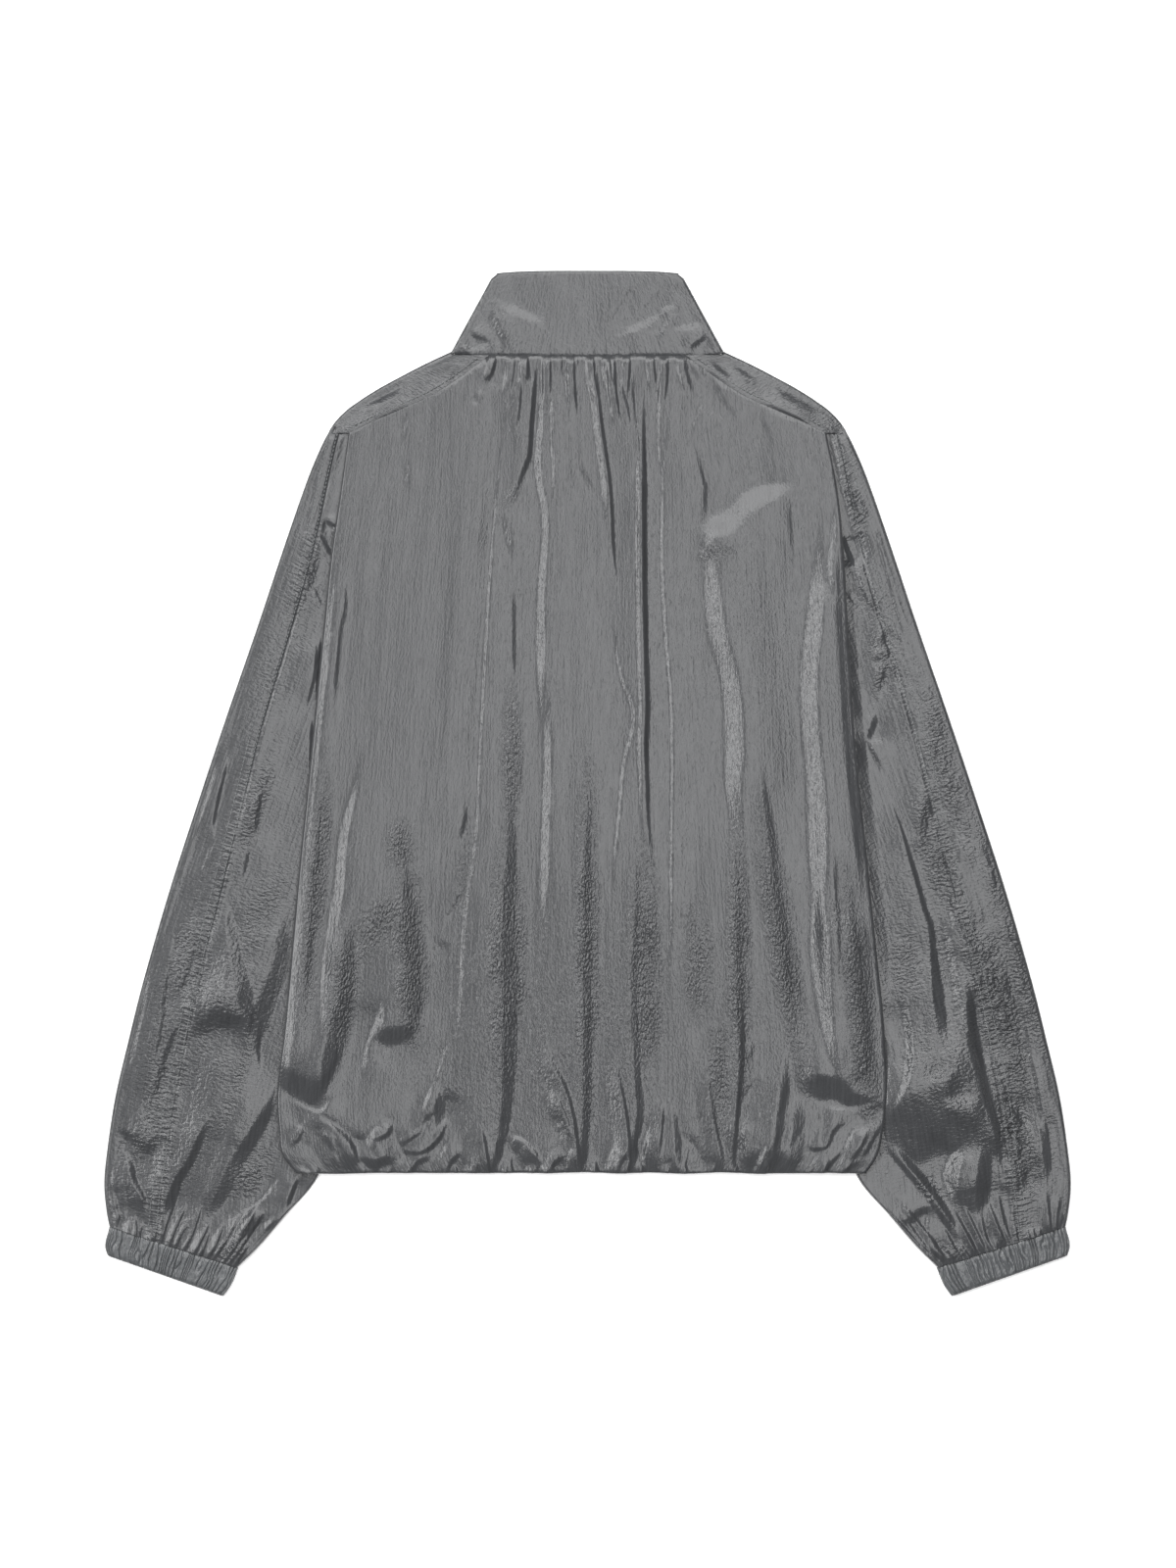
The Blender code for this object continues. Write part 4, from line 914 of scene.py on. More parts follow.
def cloth_piece(name, points, finish, nodes, uv, crumple=None, cells=None, pucker=None):
    """A cloth piece from a grid of points in millimetres, rows by columns, that stands for CAD nodes.

    uv is the place on the flat cloth in millimetres.  cells marks the grid's cells that exist.
    """
    rows, columns = points.shape[:2]
    index = np.arange(rows * columns).reshape(rows, columns)
    quads = np.stack([index[:-1, :-1], index[1:, :-1], index[1:, 1:], index[:-1, 1:]], axis=-1)
    quads = quads[cells] if cells is not None else quads.reshape(-1, 4)
    used, faces = np.unique(quads, return_inverse=True)
    faces = faces.reshape(-1, 4)
    mesh = bpy.data.meshes.new(name)
    mesh.from_pydata(points.reshape(-1, 3)[used] * MM, [], faces)
    layer = mesh.uv_layers.new(name="cloth")
    layer.data.foreach_set("uv", (uv.reshape(-1, 2)[used] * MM)[faces.ravel()].ravel())
    for word, share in (("crumple", crumple), ("pucker", pucker)):
        values = np.zeros(len(used)) if share is None else share.ravel()[used]
        mesh.attributes.new(word, "FLOAT", "POINT").data.foreach_set("value", values)
    mesh.materials.append(finish)
    mesh.shade_smooth()
    made = bpy.data.objects.new(name, mesh)
    return finished_piece(made, nodes)


def finished_piece(made, nodes=()):
    bpy.context.scene.collection.objects.link(made)
    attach(made, "root")
    if nodes:
        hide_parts(*nodes)
    return made


def mirrored(points):
    """The same grid on the other side, with its columns turned round so that it still faces out."""
    return (points * np.array([-1.0, 1.0, 1.0]))[:, ::-1]


# Back


def back_base(x, y, roll):
    """Top of the back panel without its folds; roll is the radius of its rolled sides."""
    rise_from, rise_over = 110.0, 116.0  # start and width of the rise to the sleeve's edge
    inner = sleeve_inner_x(y)
    side_top = TUCKED + SEAM_GAP + 2.0 * roll
    over_sleeve = smooth((np.abs(x) - inner + rise_from) / rise_over)
    dip = HEM_DROP * smooth((HEM_Y + HEM_TURN - y) / HEM_TURN)
    return LAID + (side_top - LAID) * over_sleeve - dip


def gather_folds():
    """The short gathers at the neck seam and the hem as creases; the long ones also have a lit side."""
    past_neck, past_hem = 8.0, 14.0  # the creases run on past the edge, so that they are full there
    long_gather, lit_side = 20, 4.5  # length of a long one, and how far left of it its lit side is
    folds = []
    for gather in NECK_GATHERS:
        top, low = NECK_Y + past_neck, NECK_Y - gather.length
        bend = (gather.x + 0.2 * gather.lean, 0.5 * (top + low))
        line = [(gather.x, top), bend, (gather.x + gather.lean, low)]
        slope = 0.3 + 0.01 * gather.length
        folds.append(Fold(-slope, (1.6, 1.6), line))
        if gather.length > long_gather:
            folds.append(Fold(0.6 * slope, (1.8, 1.6), [(x - lit_side, y) for x, y in line]))
    for gather in HEM_GATHERS:
        line = [(gather.x + gather.lean, HEM_Y + gather.length), (gather.x, HEM_Y - past_hem)]
        folds.append(Fold(-0.8, (2.0, 2.4), line))
    return folds


def rolled_side(side, x, y, z, roll):
    """The back's columns past its last one: round the rolled side, under it and to the side seam."""
    lowest, seam_turn = 0.8, 1.0  # least height of the roll's under side, and width of the turn at the seam
    closes_above, tucks_above, change = 25.0, 70.0, 40.0  # where the side seam starts, over the armpit
    columns = []
    for degrees in (60.0, 30.0, 0.0, -30.0, -60.0, -90.0):
        angle = math.radians(degrees)
        columns.append((x + side * roll * math.cos(angle), z - roll + roll * math.sin(angle)))
    low = np.maximum(z - 2.0 * roll, lowest)
    closing = smooth((ARMPIT_Y + closes_above - y) / change)
    full = np.abs(x) - sleeve_inner_x(y) + FRONT_GAP - seam_turn
    under = ARMHOLE_TUCK + (full - ARMHOLE_TUCK) * smooth((ARMPIT_Y + tucks_above - y) / change)
    turn_down = (low - FLOOR_GAP) * np.sin(0.5 * math.pi * closing)
    columns.append((x - side * 0.5 * under, low))
    columns.append((x - side * under, low))
    columns.append((x - side * (under + 0.6 + 0.4 * closing), low - 0.4 * turn_down))
    columns.append((x - side * (under + seam_turn), low - turn_down))
    return [np.stack([cx, y, np.maximum(cz, FLOOR_GAP)], axis=1) for cx, cz in columns]


def turned_hem(edge):
    """The back's rows past its hem edge: round the edge, and the turned-up hem under it."""
    rows = []
    for degrees in (50.0, 0.0, -50.0, -90.0):
        angle = math.radians(degrees)
        out, rise = -HEM_ROLL * math.cos(angle), -HEM_ROLL + HEM_ROLL * math.sin(angle)
        rows.append(edge + np.array([0.0, out, rise]))
    rows.append(rows[-1] + np.array([0.0, HEM_TURN, 0.0]))
    rows = np.array(rows)
    rows[:, :, 2] = np.maximum(rows[:, :, 2], FLOOR_GAP)
    return rows


def make_back():
    """The back panel: gathered at the neck seam and the hem, with rolled sides tucked to the side seams."""
    columns, rows = 376, 236
    flat_wide, flat_long = 490.0, 670.0  # the cloth as it lies, for the pattern
    # Closer together over the gathered middle, below the neck seam and above the hem
    share = spaced(columns, (0.0, 0.24, 0.27, 0.68, 0.71, 1.0), (1.0, 1.0, 1.5, 1.5, 1.0, 1.0))
    drop = spaced(rows, (0.0, 0.08, 0.16, 0.86, 0.92, 1.0), (1.5, 1.4, 0.85, 0.85, 1.5, 1.6))
    share, drop = np.meshgrid(share, drop)
    tip = SHOULDER_TIP[0] - TIP_ROLL
    top_x = tip * (2.0 * share - 1.0)
    top_y = np.where(np.abs(top_x) < SEAM_NECK_X, neck_seam_y(top_x), shoulder_seam_y(np.abs(top_x)))
    wave = 0.7 * uneven(top_x, 0.0 * top_x, 24.0, 1.0, SEED["hem edge"])
    low_y = HEM_Y + HEM_ROLL + 0.7 + wave
    y = top_y + (low_y - top_y) * drop
    roll = TIP_ROLL + (EDGE_ROLL - TIP_ROLL) * smooth((SHOULDER_TIP[1] - y) / 90.0)
    left, right = body_edge(-1, y) + roll, body_edge(1, y) - roll
    x = left + (right - left) * share
    u, v = flat_wide * share, flat_long * drop
    crumple = crumple_share(BACK_CRUMPLES, x, y)
    above_hem = smooth((HEM_Y + 60.0 - y) / 30.0)
    relief = fold_heights(BACK_FOLDS, x, y) + crease_heights(HEM_FOLDS + gather_folds(), x, y)
    crumpling = BACK_CRUMPLING * crumple_heights(crumple, x, y, SEED["back crumple"])
    relief += grain_heights(u, v, SEED["back grain"]) + crumpling
    relief += HEM_FACETS * facet_heights(above_hem, x, y, SEED["hem facets"])
    # The folds flatten at the rolled sides and at the neck seam
    inset = np.minimum(x - left, right - x)
    at_seam = smooth((top_y - y) / 6.0)
    relief *= (0.6 + 0.4 * smooth(inset / 8.0)) * (0.35 + 0.65 * at_seam)
    groove = SEAM_GROOVE * np.where(np.abs(x) < SEAM_NECK_X + 4.0, 1.0, 0.4)
    relief -= groove * (1.0 - smooth((top_y - y) / 2.6))
    z = back_base(x, y, roll) + relief
    z = np.where(z < LOWEST_BACK + 1.0, LOWEST_BACK + np.exp(np.minimum(z - LOWEST_BACK - 1.0, 0.0)), z)
    main = np.stack([x, y, z], axis=2)
    left_side = rolled_side(-1, x[:, 0], y[:, 0], z[:, 0], roll[:, 0])
    right_side = rolled_side(1, x[:, -1], y[:, -1], z[:, -1], roll[:, -1])
    points = np.concatenate([np.stack(left_side[::-1], 1), main, np.stack(right_side, 1)], axis=1)
    turned = turned_hem(points[-1])
    points = np.concatenate([points, turned])
    extra = points.shape[1] - columns
    pad = ((0, len(turned)), (extra // 2, extra // 2))
    uv = np.stack([np.pad(u, pad, "edge"), np.pad(v, pad, "edge")], axis=2)
    return cloth_piece("back_panel", points, NYLON, ["back"], uv, np.pad(crumple, pad, "edge"))


# Sleeves


def sleeve_sections(count):
    """Sections across a sleeve at even distances, as columns of numbers, and the distance along."""
    index = np.arange(len(SLEEVE))
    fine = np.linspace(0.0, len(SLEEVE) - 1.0, 700)
    read = {name: curve(index, column(SLEEVE, name), fine) for name in Station._fields}
    middle = np.stack([read["outer_x"] + read["inner_x"], read["outer_y"] + read["inner_y"]], axis=1)
    run = run_along(0.5 * middle)
    at = np.linspace(0.0, run[-1], count)
    rows = {name: np.interp(at, run, values)[:, None] for name, values in read.items()}
    return Station(**rows), at[:, None]


def sleeve_height(a, width, tuck):
    """Top of a sleeve at the distance a from its outer edge."""
    ramp = np.clip(width - tuck - 2.0, 4.0, 20.0)
    return TUCKED + (LAID - TUCKED) * smooth((width - a - tuck) / ramp)


def cuff_gather_folds(side):
    """The gathers that fan out from the cuff seam, uneven in length."""
    rng = np.random.default_rng(SEED["left cuff gathers" if side < 0 else "right cuff gathers"])
    past_seam = 8.0  # the creases run on past the seam, so that they are full there
    index = np.arange(len(SLEEVE))
    folds = []
    for k in range(CUFF_GATHERS):
        share = (k + 0.5 + rng.uniform(-0.3, 0.3)) / CUFF_GATHERS
        length = rng.uniform(0.5, 2.4)  # in stations of the sleeve
        points = []
        for back in (0.0, 0.5, 1.0):
            place = len(SLEEVE) - 1 - length * back
            ends = Band(*(float(curve(index, column(SLEEVE, name), place)) for name in Band._fields))
            wide = share + 0.03 * back * rng.uniform(-1.0, 1.0)
            x = ends.outer_x + (ends.inner_x - ends.outer_x) * wide
            y = ends.outer_y + (ends.inner_y - ends.outer_y) * wide
            points.append((side * x, y - past_seam * (1.0 - back)))
        folds.append(Fold(-0.75, (1.8, 2.6), points[::-1]))
    return folds


def sleeve_top(side, here, run, a, folds, gathers):
    """Points, crumple and pucker of a sleeve's top face at the distances a from its outer edge."""
    across_x, across_y = here.inner_x - here.outer_x, here.inner_y - here.outer_y
    width = np.hypot(across_x, across_y)
    x = side * (here.outer_x + across_x / width * a)
    y = here.outer_y + across_y / width * a
    along = run + 0.0 * a
    crumple = crumple_share(SLEEVE_CRUMPLES[side], x, y)
    lively = SLEEVE_CRUMPLING[side]
    lower_arm = smooth((run - 300.0) / 200.0)
    relief = fold_heights(folds, x, y) + crease_heights(gathers, x, y)
    grain = 0.8 * grain_heights(a, along, SEED["sleeve grain"] + side)
    relief += grain + lively * crumple_heights(crumple, x, y, SEED["sleeve crumple"] + side)
    relief += lively * facet_heights(0.05 + 0.15 * lower_arm, x, y, SEED["sleeve facets"] + side)
    # The puckers reach further on the outer side of the seam
    puckers = SEAM_PUCKERS[side]
    strength = np.interp(-y, [-row.y for row in puckers], column(puckers, "strength"))
    beside = here.seam - a
    drift = uneven(along, a, 13.0, 30.0, SEED["seam puckers"])
    phase = 2.0 * math.pi * (run / PUCKER_PITCH + 0.8 * drift)
    reach = np.where(beside > 0.0, PUCKER_REACH, 0.35 * PUCKER_REACH)
    pucker = PUCKER_RISE * strength * np.sin(phase + 0.12 * beside) * np.exp(-((beside / reach) ** 2))
    # The sleeve sinks under the body, and comes up beside it
    edge = smooth((a - FOLD_RADIUS) / 6.0)
    beyond = np.maximum(side * (x - body_edge(side, y)), 1.5 * (HEM_Y - y))
    clear = smooth((beyond + 10.0) / 10.0)
    ramp = np.clip(0.8 * (beyond + a), 4.0, 60.0)
    low = UNDER_BODY + (TUCKED - UNDER_BODY) * smooth((HEM_Y + 100.0 - y) / 50.0)
    z = low + (LAID - low) * smooth(beyond / ramp) * smooth(run / SLEEVE_RISE)
    z = z + (relief + pucker) * edge * clear - SEAM_GROOVE * np.exp(-((beside / 1.6) ** 2)) * clear
    share = strength * np.exp(-((beside / reach) ** 2)) * clear
    return np.stack([x, y, np.maximum(z, LOWEST_SLEEVE)], axis=2), crumple, share


def make_sleeve(side, word, folds):
    """One sleeve: the outer piece, which runs under the arm, and the inner piece, sewn on two seams."""
    rows, strip_columns, inner_columns, under_columns = 380, 40, 100, 24
    corner = 1.5  # how far the inner piece's top stops short of its edge
    here, run = sleeve_sections(rows)
    gathers = cuff_gather_folds(side)
    width = np.hypot(here.inner_x - here.outer_x, here.inner_y - here.outer_y)
    radius = 0.5 * sleeve_height(0.0, width, here.tuck)

    def flat_place(a):
        return np.stack([a, run + 0.0 * a], axis=2)

    def top_part(a):
        points, crumple, pucker = sleeve_top(side, here, run, a, folds, gathers)
        return points, flat_place(a), crumple, pucker

    def plain_part(a, z, place, crumple=0.0):
        """Cloth with no folds at the distances a and heights z; place is across the flat cloth."""
        x = side * (here.outer_x + (here.inner_x - here.outer_x) / width * a)
        y = here.outer_y + (here.inner_y - here.outer_y) / width * a
        return np.stack([x, y, z], axis=2), flat_place(place), crumple + 0.0 * a, 0.0 * a

    outer = [top_part(here.seam + (radius - here.seam) * np.linspace(0.0, 1.0, strip_columns)[None, :])]
    for degrees in (60.0, 30.0, 0.0, -30.0, -60.0):
        angle = math.radians(degrees)
        z = radius + radius * math.sin(angle) + FLOOR_GAP
        place = -radius * math.radians(90.0 - degrees)
        outer.append(plain_part(radius - radius * math.cos(angle), z, place))
    a = radius + (width - radius) * np.linspace(0.0, 1.0, under_columns)[None, :]
    waves = 0.5 + 0.5 * uneven(a, run + 0.0 * a, 14.0, 90.0, SEED["sleeve under side"])
    z = FLOOR_GAP + 0.7 * waves * smooth((width - a) / 10.0)
    outer.append(plain_part(a, z, -a - 5.0, 0.25))

    top = top_part(here.seam + (width - corner - here.seam) * np.linspace(0.0, 1.0, inner_columns)[None, :])
    low = top[0][:, -1:, 2]
    closing = smooth((ARMPIT_Y + 30.0 - here.inner_y) / 45.0)
    inner = [top]
    for drop, out in ((0.25, 0.4), (0.6, 0.75), (1.0, 1.0)):
        z = low - (low - FLOOR_GAP - 0.9) * drop * closing
        inner.append(plain_part(width - corner * (1.0 - out), z, width + 4.0 * drop))

    made = []
    for half, parts, turned in (("outer", outer, side < 0), ("inner", inner, side > 0)):
        grids = [np.concatenate(grid, axis=1) for grid in zip(*parts)]
        points, uv, crumple, pucker = (grid[:, ::-1] if turned else grid for grid in grids)
        name = "sleeve_" + half + "_" + word
        made.append(cloth_piece(name + "_cloth", points, SLEEVE_NYLON, [name], uv, crumple,
                                pucker=pucker))
    lines = []
    for distance in (TOPSTITCH, SEAM_STITCH):
        lines.append(sleeve_top(side, here, run, here.seam - distance, folds, gathers)[0][:, 0])
    return made, lines


# Cuffs


def make_cuff(side, word):
    """An elastic cuff: a flattened tube with uneven ribs where the elastic gathers the cloth."""
    rows, rib_columns = 15, 14
    flat_wide, flat_deep = 110.0, 25.0  # each face as it lies, for the pattern
    middle = FOLD_RADIUS + FLOOR_GAP
    turn = np.linspace(0.0, 2.0, 2 * CUFF_RIBS * rib_columns + 1)[None, :]
    face = np.where(turn <= 1.0, 1.0, -1.0)
    share = np.where(turn <= 1.0, turn, 2.0 - turn)
    along = np.linspace(0.0, 1.0, rows)[:, None]
    places = np.array([0.0, 0.8, 1.0])  # of the sections, from the sleeve to the wrist
    ends = {name: curve(places, column(CUFF, name), along) for name in Band._fields}
    across_x, across_y = ends["inner_x"] - ends["outer_x"], ends["inner_y"] - ends["outer_y"]
    width = np.hypot(across_x, across_y)
    end = np.minimum(share, 1.0 - share) * width
    half = np.sqrt(np.maximum(FOLD_RADIUS**2 - np.maximum(FOLD_RADIUS - end, 0.0) ** 2, 0.0))
    # Ribs of uneven pitch and depth that wander a little along the cuff
    u, v = turn * 60.0 + 0.0 * along, 30.0 * along + 0.0 * turn
    wander = 0.45 * uneven(u, v, 3.1, 11.0, SEED["cuff wander"] + side)
    drift = 1.3 * uneven(turn * 60.0, 0.0 * turn, 3.7, 1.0, SEED["cuff ribs"] + side)
    phase = turn * CUFF_RIBS + wander + drift
    depth = 0.5 + 0.5 * uneven(u, v, 2.7, 20.0, SEED["cuff depth"] + side)
    groove = np.exp(-(((phase - np.round(phase)) / CUFF_RIB_WIDE) ** 2))
    rib = CUFF_RIB_RISE * (0.3 + 0.7 * depth**2) * groove
    # Drawn in at the sleeve seam and at the wrist
    full = smooth(along / 0.12) * smooth((1.0 - along) / 0.1)
    tighten = 0.9 * (1.0 - smooth(along / 0.10)) + (1.0 - smooth((1.0 - along) / 0.06))
    height = np.maximum(half - rib * (0.55 + 0.45 * full) - tighten, 0.0)
    x = side * (ends["outer_x"] + across_x * share)
    y = ends["outer_y"] + across_y * share
    z = middle + face * height
    points = np.stack([x + 0.0 * z, y + 0.0 * z, z], axis=2)
    uv = np.stack([turn * flat_wide + 0.0 * z, flat_deep * along + 0.0 * z], axis=2)
    # The wrist edge turns in, and its hem runs back inside
    inside = points[-1].copy()
    inside[:, 2] = middle + face[0] * np.maximum(height[-1] - 0.5, 0.0)
    turned = inside + np.array([-side * 5.0, 15.0, 0.0])
    points = np.concatenate([points, inside[None], turned[None]])
    uv = np.concatenate([uv, uv[-1:] + (0.0, 1.0), uv[-1:] + (0.0, 16.0)])
    crumple = np.full(points.shape[:2], 0.1)
    if side < 0:
        points, uv = points[:, ::-1], uv[:, ::-1]
    name = "cuff_" + word
    return cloth_piece(name + "_cloth", points, GATHERED_NYLON, [name], uv, crumple)


# Collar


def make_collar():
    """The stand collar: one band from the zip round the neck and back, flattened with its back up."""
    rows, front_columns, back_columns = 44, 22, 150
    row_pitch = 1.6  # distance of the rows on the flat cloth
    facing = 9.0  # depth of the turned edge inside the top
    along = np.concatenate([np.linspace(0.0, 0.97, rows), [1.0]])[:, None]
    half = COLLAR_FOOT - FOLD_RADIUS + (COLLAR_TOP - COLLAR_FOOT) * along
    half = half - 2.5 * smooth((along - 0.93) / 0.07) ** 2
    foot_side = float(neck_seam_y(COLLAR_FOOT))
    top_side = COLLAR_TOP_Y - COLLAR_EDGE_ROLL - COLLAR_CORNER
    # The front, which lies on the surface, and the folded sides
    share = np.linspace(0.0, 1.0, front_columns)[None, :]
    front_x = FRONT_EDGE + (half - FRONT_EDGE) * share
    foot = front_neck_y(FRONT_EDGE + (COLLAR_FOOT - FOLD_RADIUS - FRONT_EDGE) * share)
    foot = foot + (foot_side - foot[:, -1:]) * share**6
    top_zip = foot_side - FRONT_NECK_DROP + COLLAR_FRONT_HEIGHT
    front_y = foot + (top_zip + (top_side - top_zip) * share**2 - foot) * along
    front = np.stack([front_x, front_y, FLOOR_GAP + 0.0 * front_x], axis=2)
    side_y = foot_side + (top_side - foot_side) * along
    sides = []
    for degrees in (-60.0, -30.0, 0.0, 30.0, 60.0):
        angle = math.radians(degrees)
        out = half + FOLD_RADIUS * math.cos(angle)
        sides.append(np.stack([out, side_y, FOLD_RADIUS * (1.0 + math.sin(angle)) + 0.0 * out], axis=2))
    right = np.concatenate([front] + sides, axis=1)
    left = right * np.array([-1.0, 1.0, 1.0])
    # The back, which is on top
    share = np.linspace(-1.0, 1.0, back_columns)[None, :]
    x = half * share
    top_y = COLLAR_TOP_Y - COLLAR_EDGE_ROLL - COLLAR_CORNER * share**4
    y = neck_seam_y(x) + (top_y - neck_seam_y(x)) * along
    relief = fold_heights(COLLAR_FOLDS, x, y)
    fine = 0.12 * uneven(x, y, 7.0, 24.0, SEED["collar fine"])
    relief += 0.5 * uneven(x, y, 30.0, 40.0, SEED["collar"]) + fine
    near_seam = 1.0 - smooth((y - NECK_Y) / 9.0)
    puckers = 0.35 * uneven(x, 0.0 * x, 3.4, 1.0, SEED["collar puckers"]) * near_seam
    inset = smooth((half - np.abs(x)) / 8.0) * (0.4 + 0.6 * smooth((y - NECK_Y) / 6.0))
    z = LAID + (relief + puckers) * inset - SEAM_GROOVE * (1.0 - smooth((y - neck_seam_y(x)) / 2.4))
    upper = np.stack([x, y, z], axis=2)
    points = np.concatenate([left, upper, right[:, ::-1]], axis=1)[::-1]
    # The top edge rolls over, and its facing runs down inside
    edge = points[0]
    facing_up = np.sign(edge[:, 2:] - FOLD_RADIUS)
    rolled = []
    for degrees in (-90.0, -45.0, 0.0, 45.0):
        angle = math.radians(degrees)
        shift = COLLAR_EDGE_ROLL * np.array([0.0, 1.0, 0.0]) * math.cos(angle)
        down = facing_up * COLLAR_EDGE_ROLL * (math.sin(angle) - 1.0) * np.array([0.0, 0.0, 1.0])
        rolled.append(edge + shift + down)
    rolled = [rolled[0] - np.array([0.0, facing, 0.0])] + rolled
    points = np.concatenate([np.array(rolled), points])
    across = run_along(points[20, :, ::2])
    down = row_pitch * np.arange(points.shape[0])
    uv = np.stack(np.broadcast_arrays(across[None, :], down[:, None]), axis=2)
    crumple = np.full(points.shape[:2], 0.04)
    return cloth_piece("collar_band", points, NYLON, ["collar"], uv, crumple)


# Fronts


def shoulder_fold(g):
    """The shoulder's folded edge at the share g from the neck to the armhole, and the way out of it."""
    xs, ys = column(SHOULDER, "x"), column(SHOULDER, "y")
    x = xs[0] + (xs[-1] - xs[0]) * g
    y = float(curve(xs, ys, x))
    ahead, behind = min(x + 1.0, xs[-1]), max(x - 1.0, xs[0])
    slope = float(curve(xs, ys, ahead) - curve(xs, ys, behind)) / (ahead - behind)
    out = np.array([-slope, 1.0]) / math.hypot(slope, 1.0)
    return np.array([x, y]), out


def front_grid(side):
    """A front: flat on the surface, and folded over the shoulder to the seam on the back."""
    rows, neck_columns, shoulder_columns, strip_rows = 64, 24, 60, 16
    strip_wide = 34.0  # rough width of the strip over the shoulder
    tops, starts, outs, seams = [], [], [], []
    for k in range(neck_columns):
        x = FRONT_EDGE + (COLLAR_FOOT - FOLD_RADIUS - FRONT_EDGE) * k / neck_columns
        tops.append((x, float(front_neck_y(x)) - SEAM_GAP))
    for k in range(shoulder_columns + 1):
        g = k / shoulder_columns
        edge, out = shoulder_fold(g)
        starts.append(edge - FOLD_RADIUS * out)
        outs.append(out)
        seam_x = SEAM_NECK_X + SEAM_GAP + (SHOULDER_TIP[0] - SEAM_NECK_X) * g
        seams.append((seam_x, float(shoulder_seam_y(seam_x)) + 0.2))
    tops = np.array(tops + [tuple(start) for start in starts])
    starts, outs, seams = np.array(starts), np.array(outs), np.array(seams)
    # The flat part, from the hem to the neck and the shoulder
    share = np.linspace(0.0, 1.0, len(tops))[None, :]
    rise = np.linspace(0.0, 1.0, rows)[:, None]
    y = HEM_Y + 2.0 + (tops[None, :, 1] - HEM_Y - 2.0) * rise
    tucked = 2.0 * smooth((ARMPIT_Y + 35.0 - y) / 30.0)
    edge_x = sleeve_inner_x(y) - FRONT_GAP - tucked
    straight = FRONT_EDGE + (edge_x - FRONT_EDGE) * share
    x = straight + (tops[None, :, 0] - straight) * smooth((rise - 0.45) / 0.55)
    x = np.where(y < SHOULDER_TIP[1] - 2.0, np.minimum(x, edge_x), x)
    x[-1] = tops[:, 0]
    waves = 0.5 + 0.5 * uneven(x, y, 17.0, 120.0, SEED["front waves"] + side)
    calm = smooth((1.0 - rise) / 0.06) * smooth(rise / 0.03) * smooth((edge_x - x) / 8.0)
    flat = np.stack([x, y, FLOOR_GAP + 1.3 * waves * calm], axis=2)
    # The fold at the shoulder, and the strip from there to the seam on the back
    upper = []
    for degrees in (-60.0, -30.0, 0.0, 30.0, 60.0, 90.0):
        angle = math.radians(degrees)
        place = starts + FOLD_RADIUS * math.cos(angle) * outs
        height = FLOOR_GAP + (LAID - STRIP_FALL - FLOOR_GAP) * 0.5 * (1.0 + math.sin(angle))
        upper.append(np.column_stack([place, np.full(len(starts), height)]))
    for step in np.linspace(0.0, 1.0, strip_rows + 1)[1:]:
        place = starts * (1.0 - step) + seams * step
        relief = fold_heights(STRIP_FOLDS[side], side * place[:, 0], place[:, 1])
        relief += 0.25 * uneven(place[:, 0], place[:, 1], 18.0, 12.0, SEED["shoulder strip"] + side)
        between = smooth(step / 0.2) * smooth((1.0 - step) / 0.15)
        height = LAID - STRIP_FALL * (1.0 - step) + relief * between
        height = height - 0.4 * SEAM_GROOVE * (1.0 - smooth((1.0 - step) * strip_wide / 2.6))
        upper.append(np.column_stack([place, height]))
    upper = np.array(upper)
    # The neck has no strip, so its columns end at the neck seam
    blank = np.repeat(tops[None, :neck_columns], len(upper), axis=0)
    blank = np.concatenate([blank, np.zeros(blank.shape[:2] + (1,))], axis=2)
    points = np.concatenate([flat, np.concatenate([blank, upper], axis=1)])
    cells = np.ones((points.shape[0] - 1, points.shape[1] - 1), bool)
    cells[rows - 1 :, :neck_columns] = False
    return points, cells


def make_front(side, word):
    """A front, of which the strip over the shoulder shows and is smoother than the rest."""
    flat_wide, shown_rows, shoulder_column = 215.0, 20, -20
    points, cells = front_grid(side)
    along = run_along(points[:, shoulder_column])
    across = np.linspace(0.0, flat_wide, points.shape[1])
    uv = np.stack(np.broadcast_arrays(across[None, :], along[:, None]), axis=2)
    if side < 0:
        points, uv, cells = mirrored(points), uv[:, ::-1], cells[:, ::-1]
    crumple = np.full(points.shape[:2], 0.15)
    crumple[-shown_rows:] = 0.06
    name = "front_" + word
    return cloth_piece(name + "_cloth", points, NYLON, [name], uv, crumple, cells)


# Zip


def tube_faces(rings, sides):
    """Faces of a closed tube of several rings of points: its two ends, and the quads between the rings."""
    faces = [tuple(range(sides - 1, -1, -1)), tuple(range((rings - 1) * sides, rings * sides))]
    for low in range(0, (rings - 1) * sides, sides):
        high = low + sides
        for j in range(sides):
            beside = (j + 1) % sides
            faces.append((low + j, low + beside, high + beside, high + j))
    return faces


def bar(low, high, chamfer):
    """Points and faces of a bar between two corners with its edges chamfered."""
    x0, y0, z0 = low
    x1, y1, z1 = high
    c, bevel = chamfer, 0.5 * chamfer
    ring = [(x0 + c, y0), (x1 - c, y0), (x1, y0 + c), (x1, y1 - c)]
    ring += [(x1 - c, y1), (x0 + c, y1), (x0, y1 - c), (x0, y0 + c)]
    levels = ((z0, bevel), (z0 + bevel, 0.0), (z1 - bevel, 0.0), (z1, bevel))
    middle_x, middle_y = 0.5 * (x0 + x1), 0.5 * (y0 + y1)
    points = []
    for z, inset in levels:
        for x, y in ring:
            in_x, in_y = math.copysign(inset, x - middle_x), math.copysign(inset, y - middle_y)
            points.append((x - in_x, y - in_y, z))
    return points, tube_faces(len(levels), len(ring))


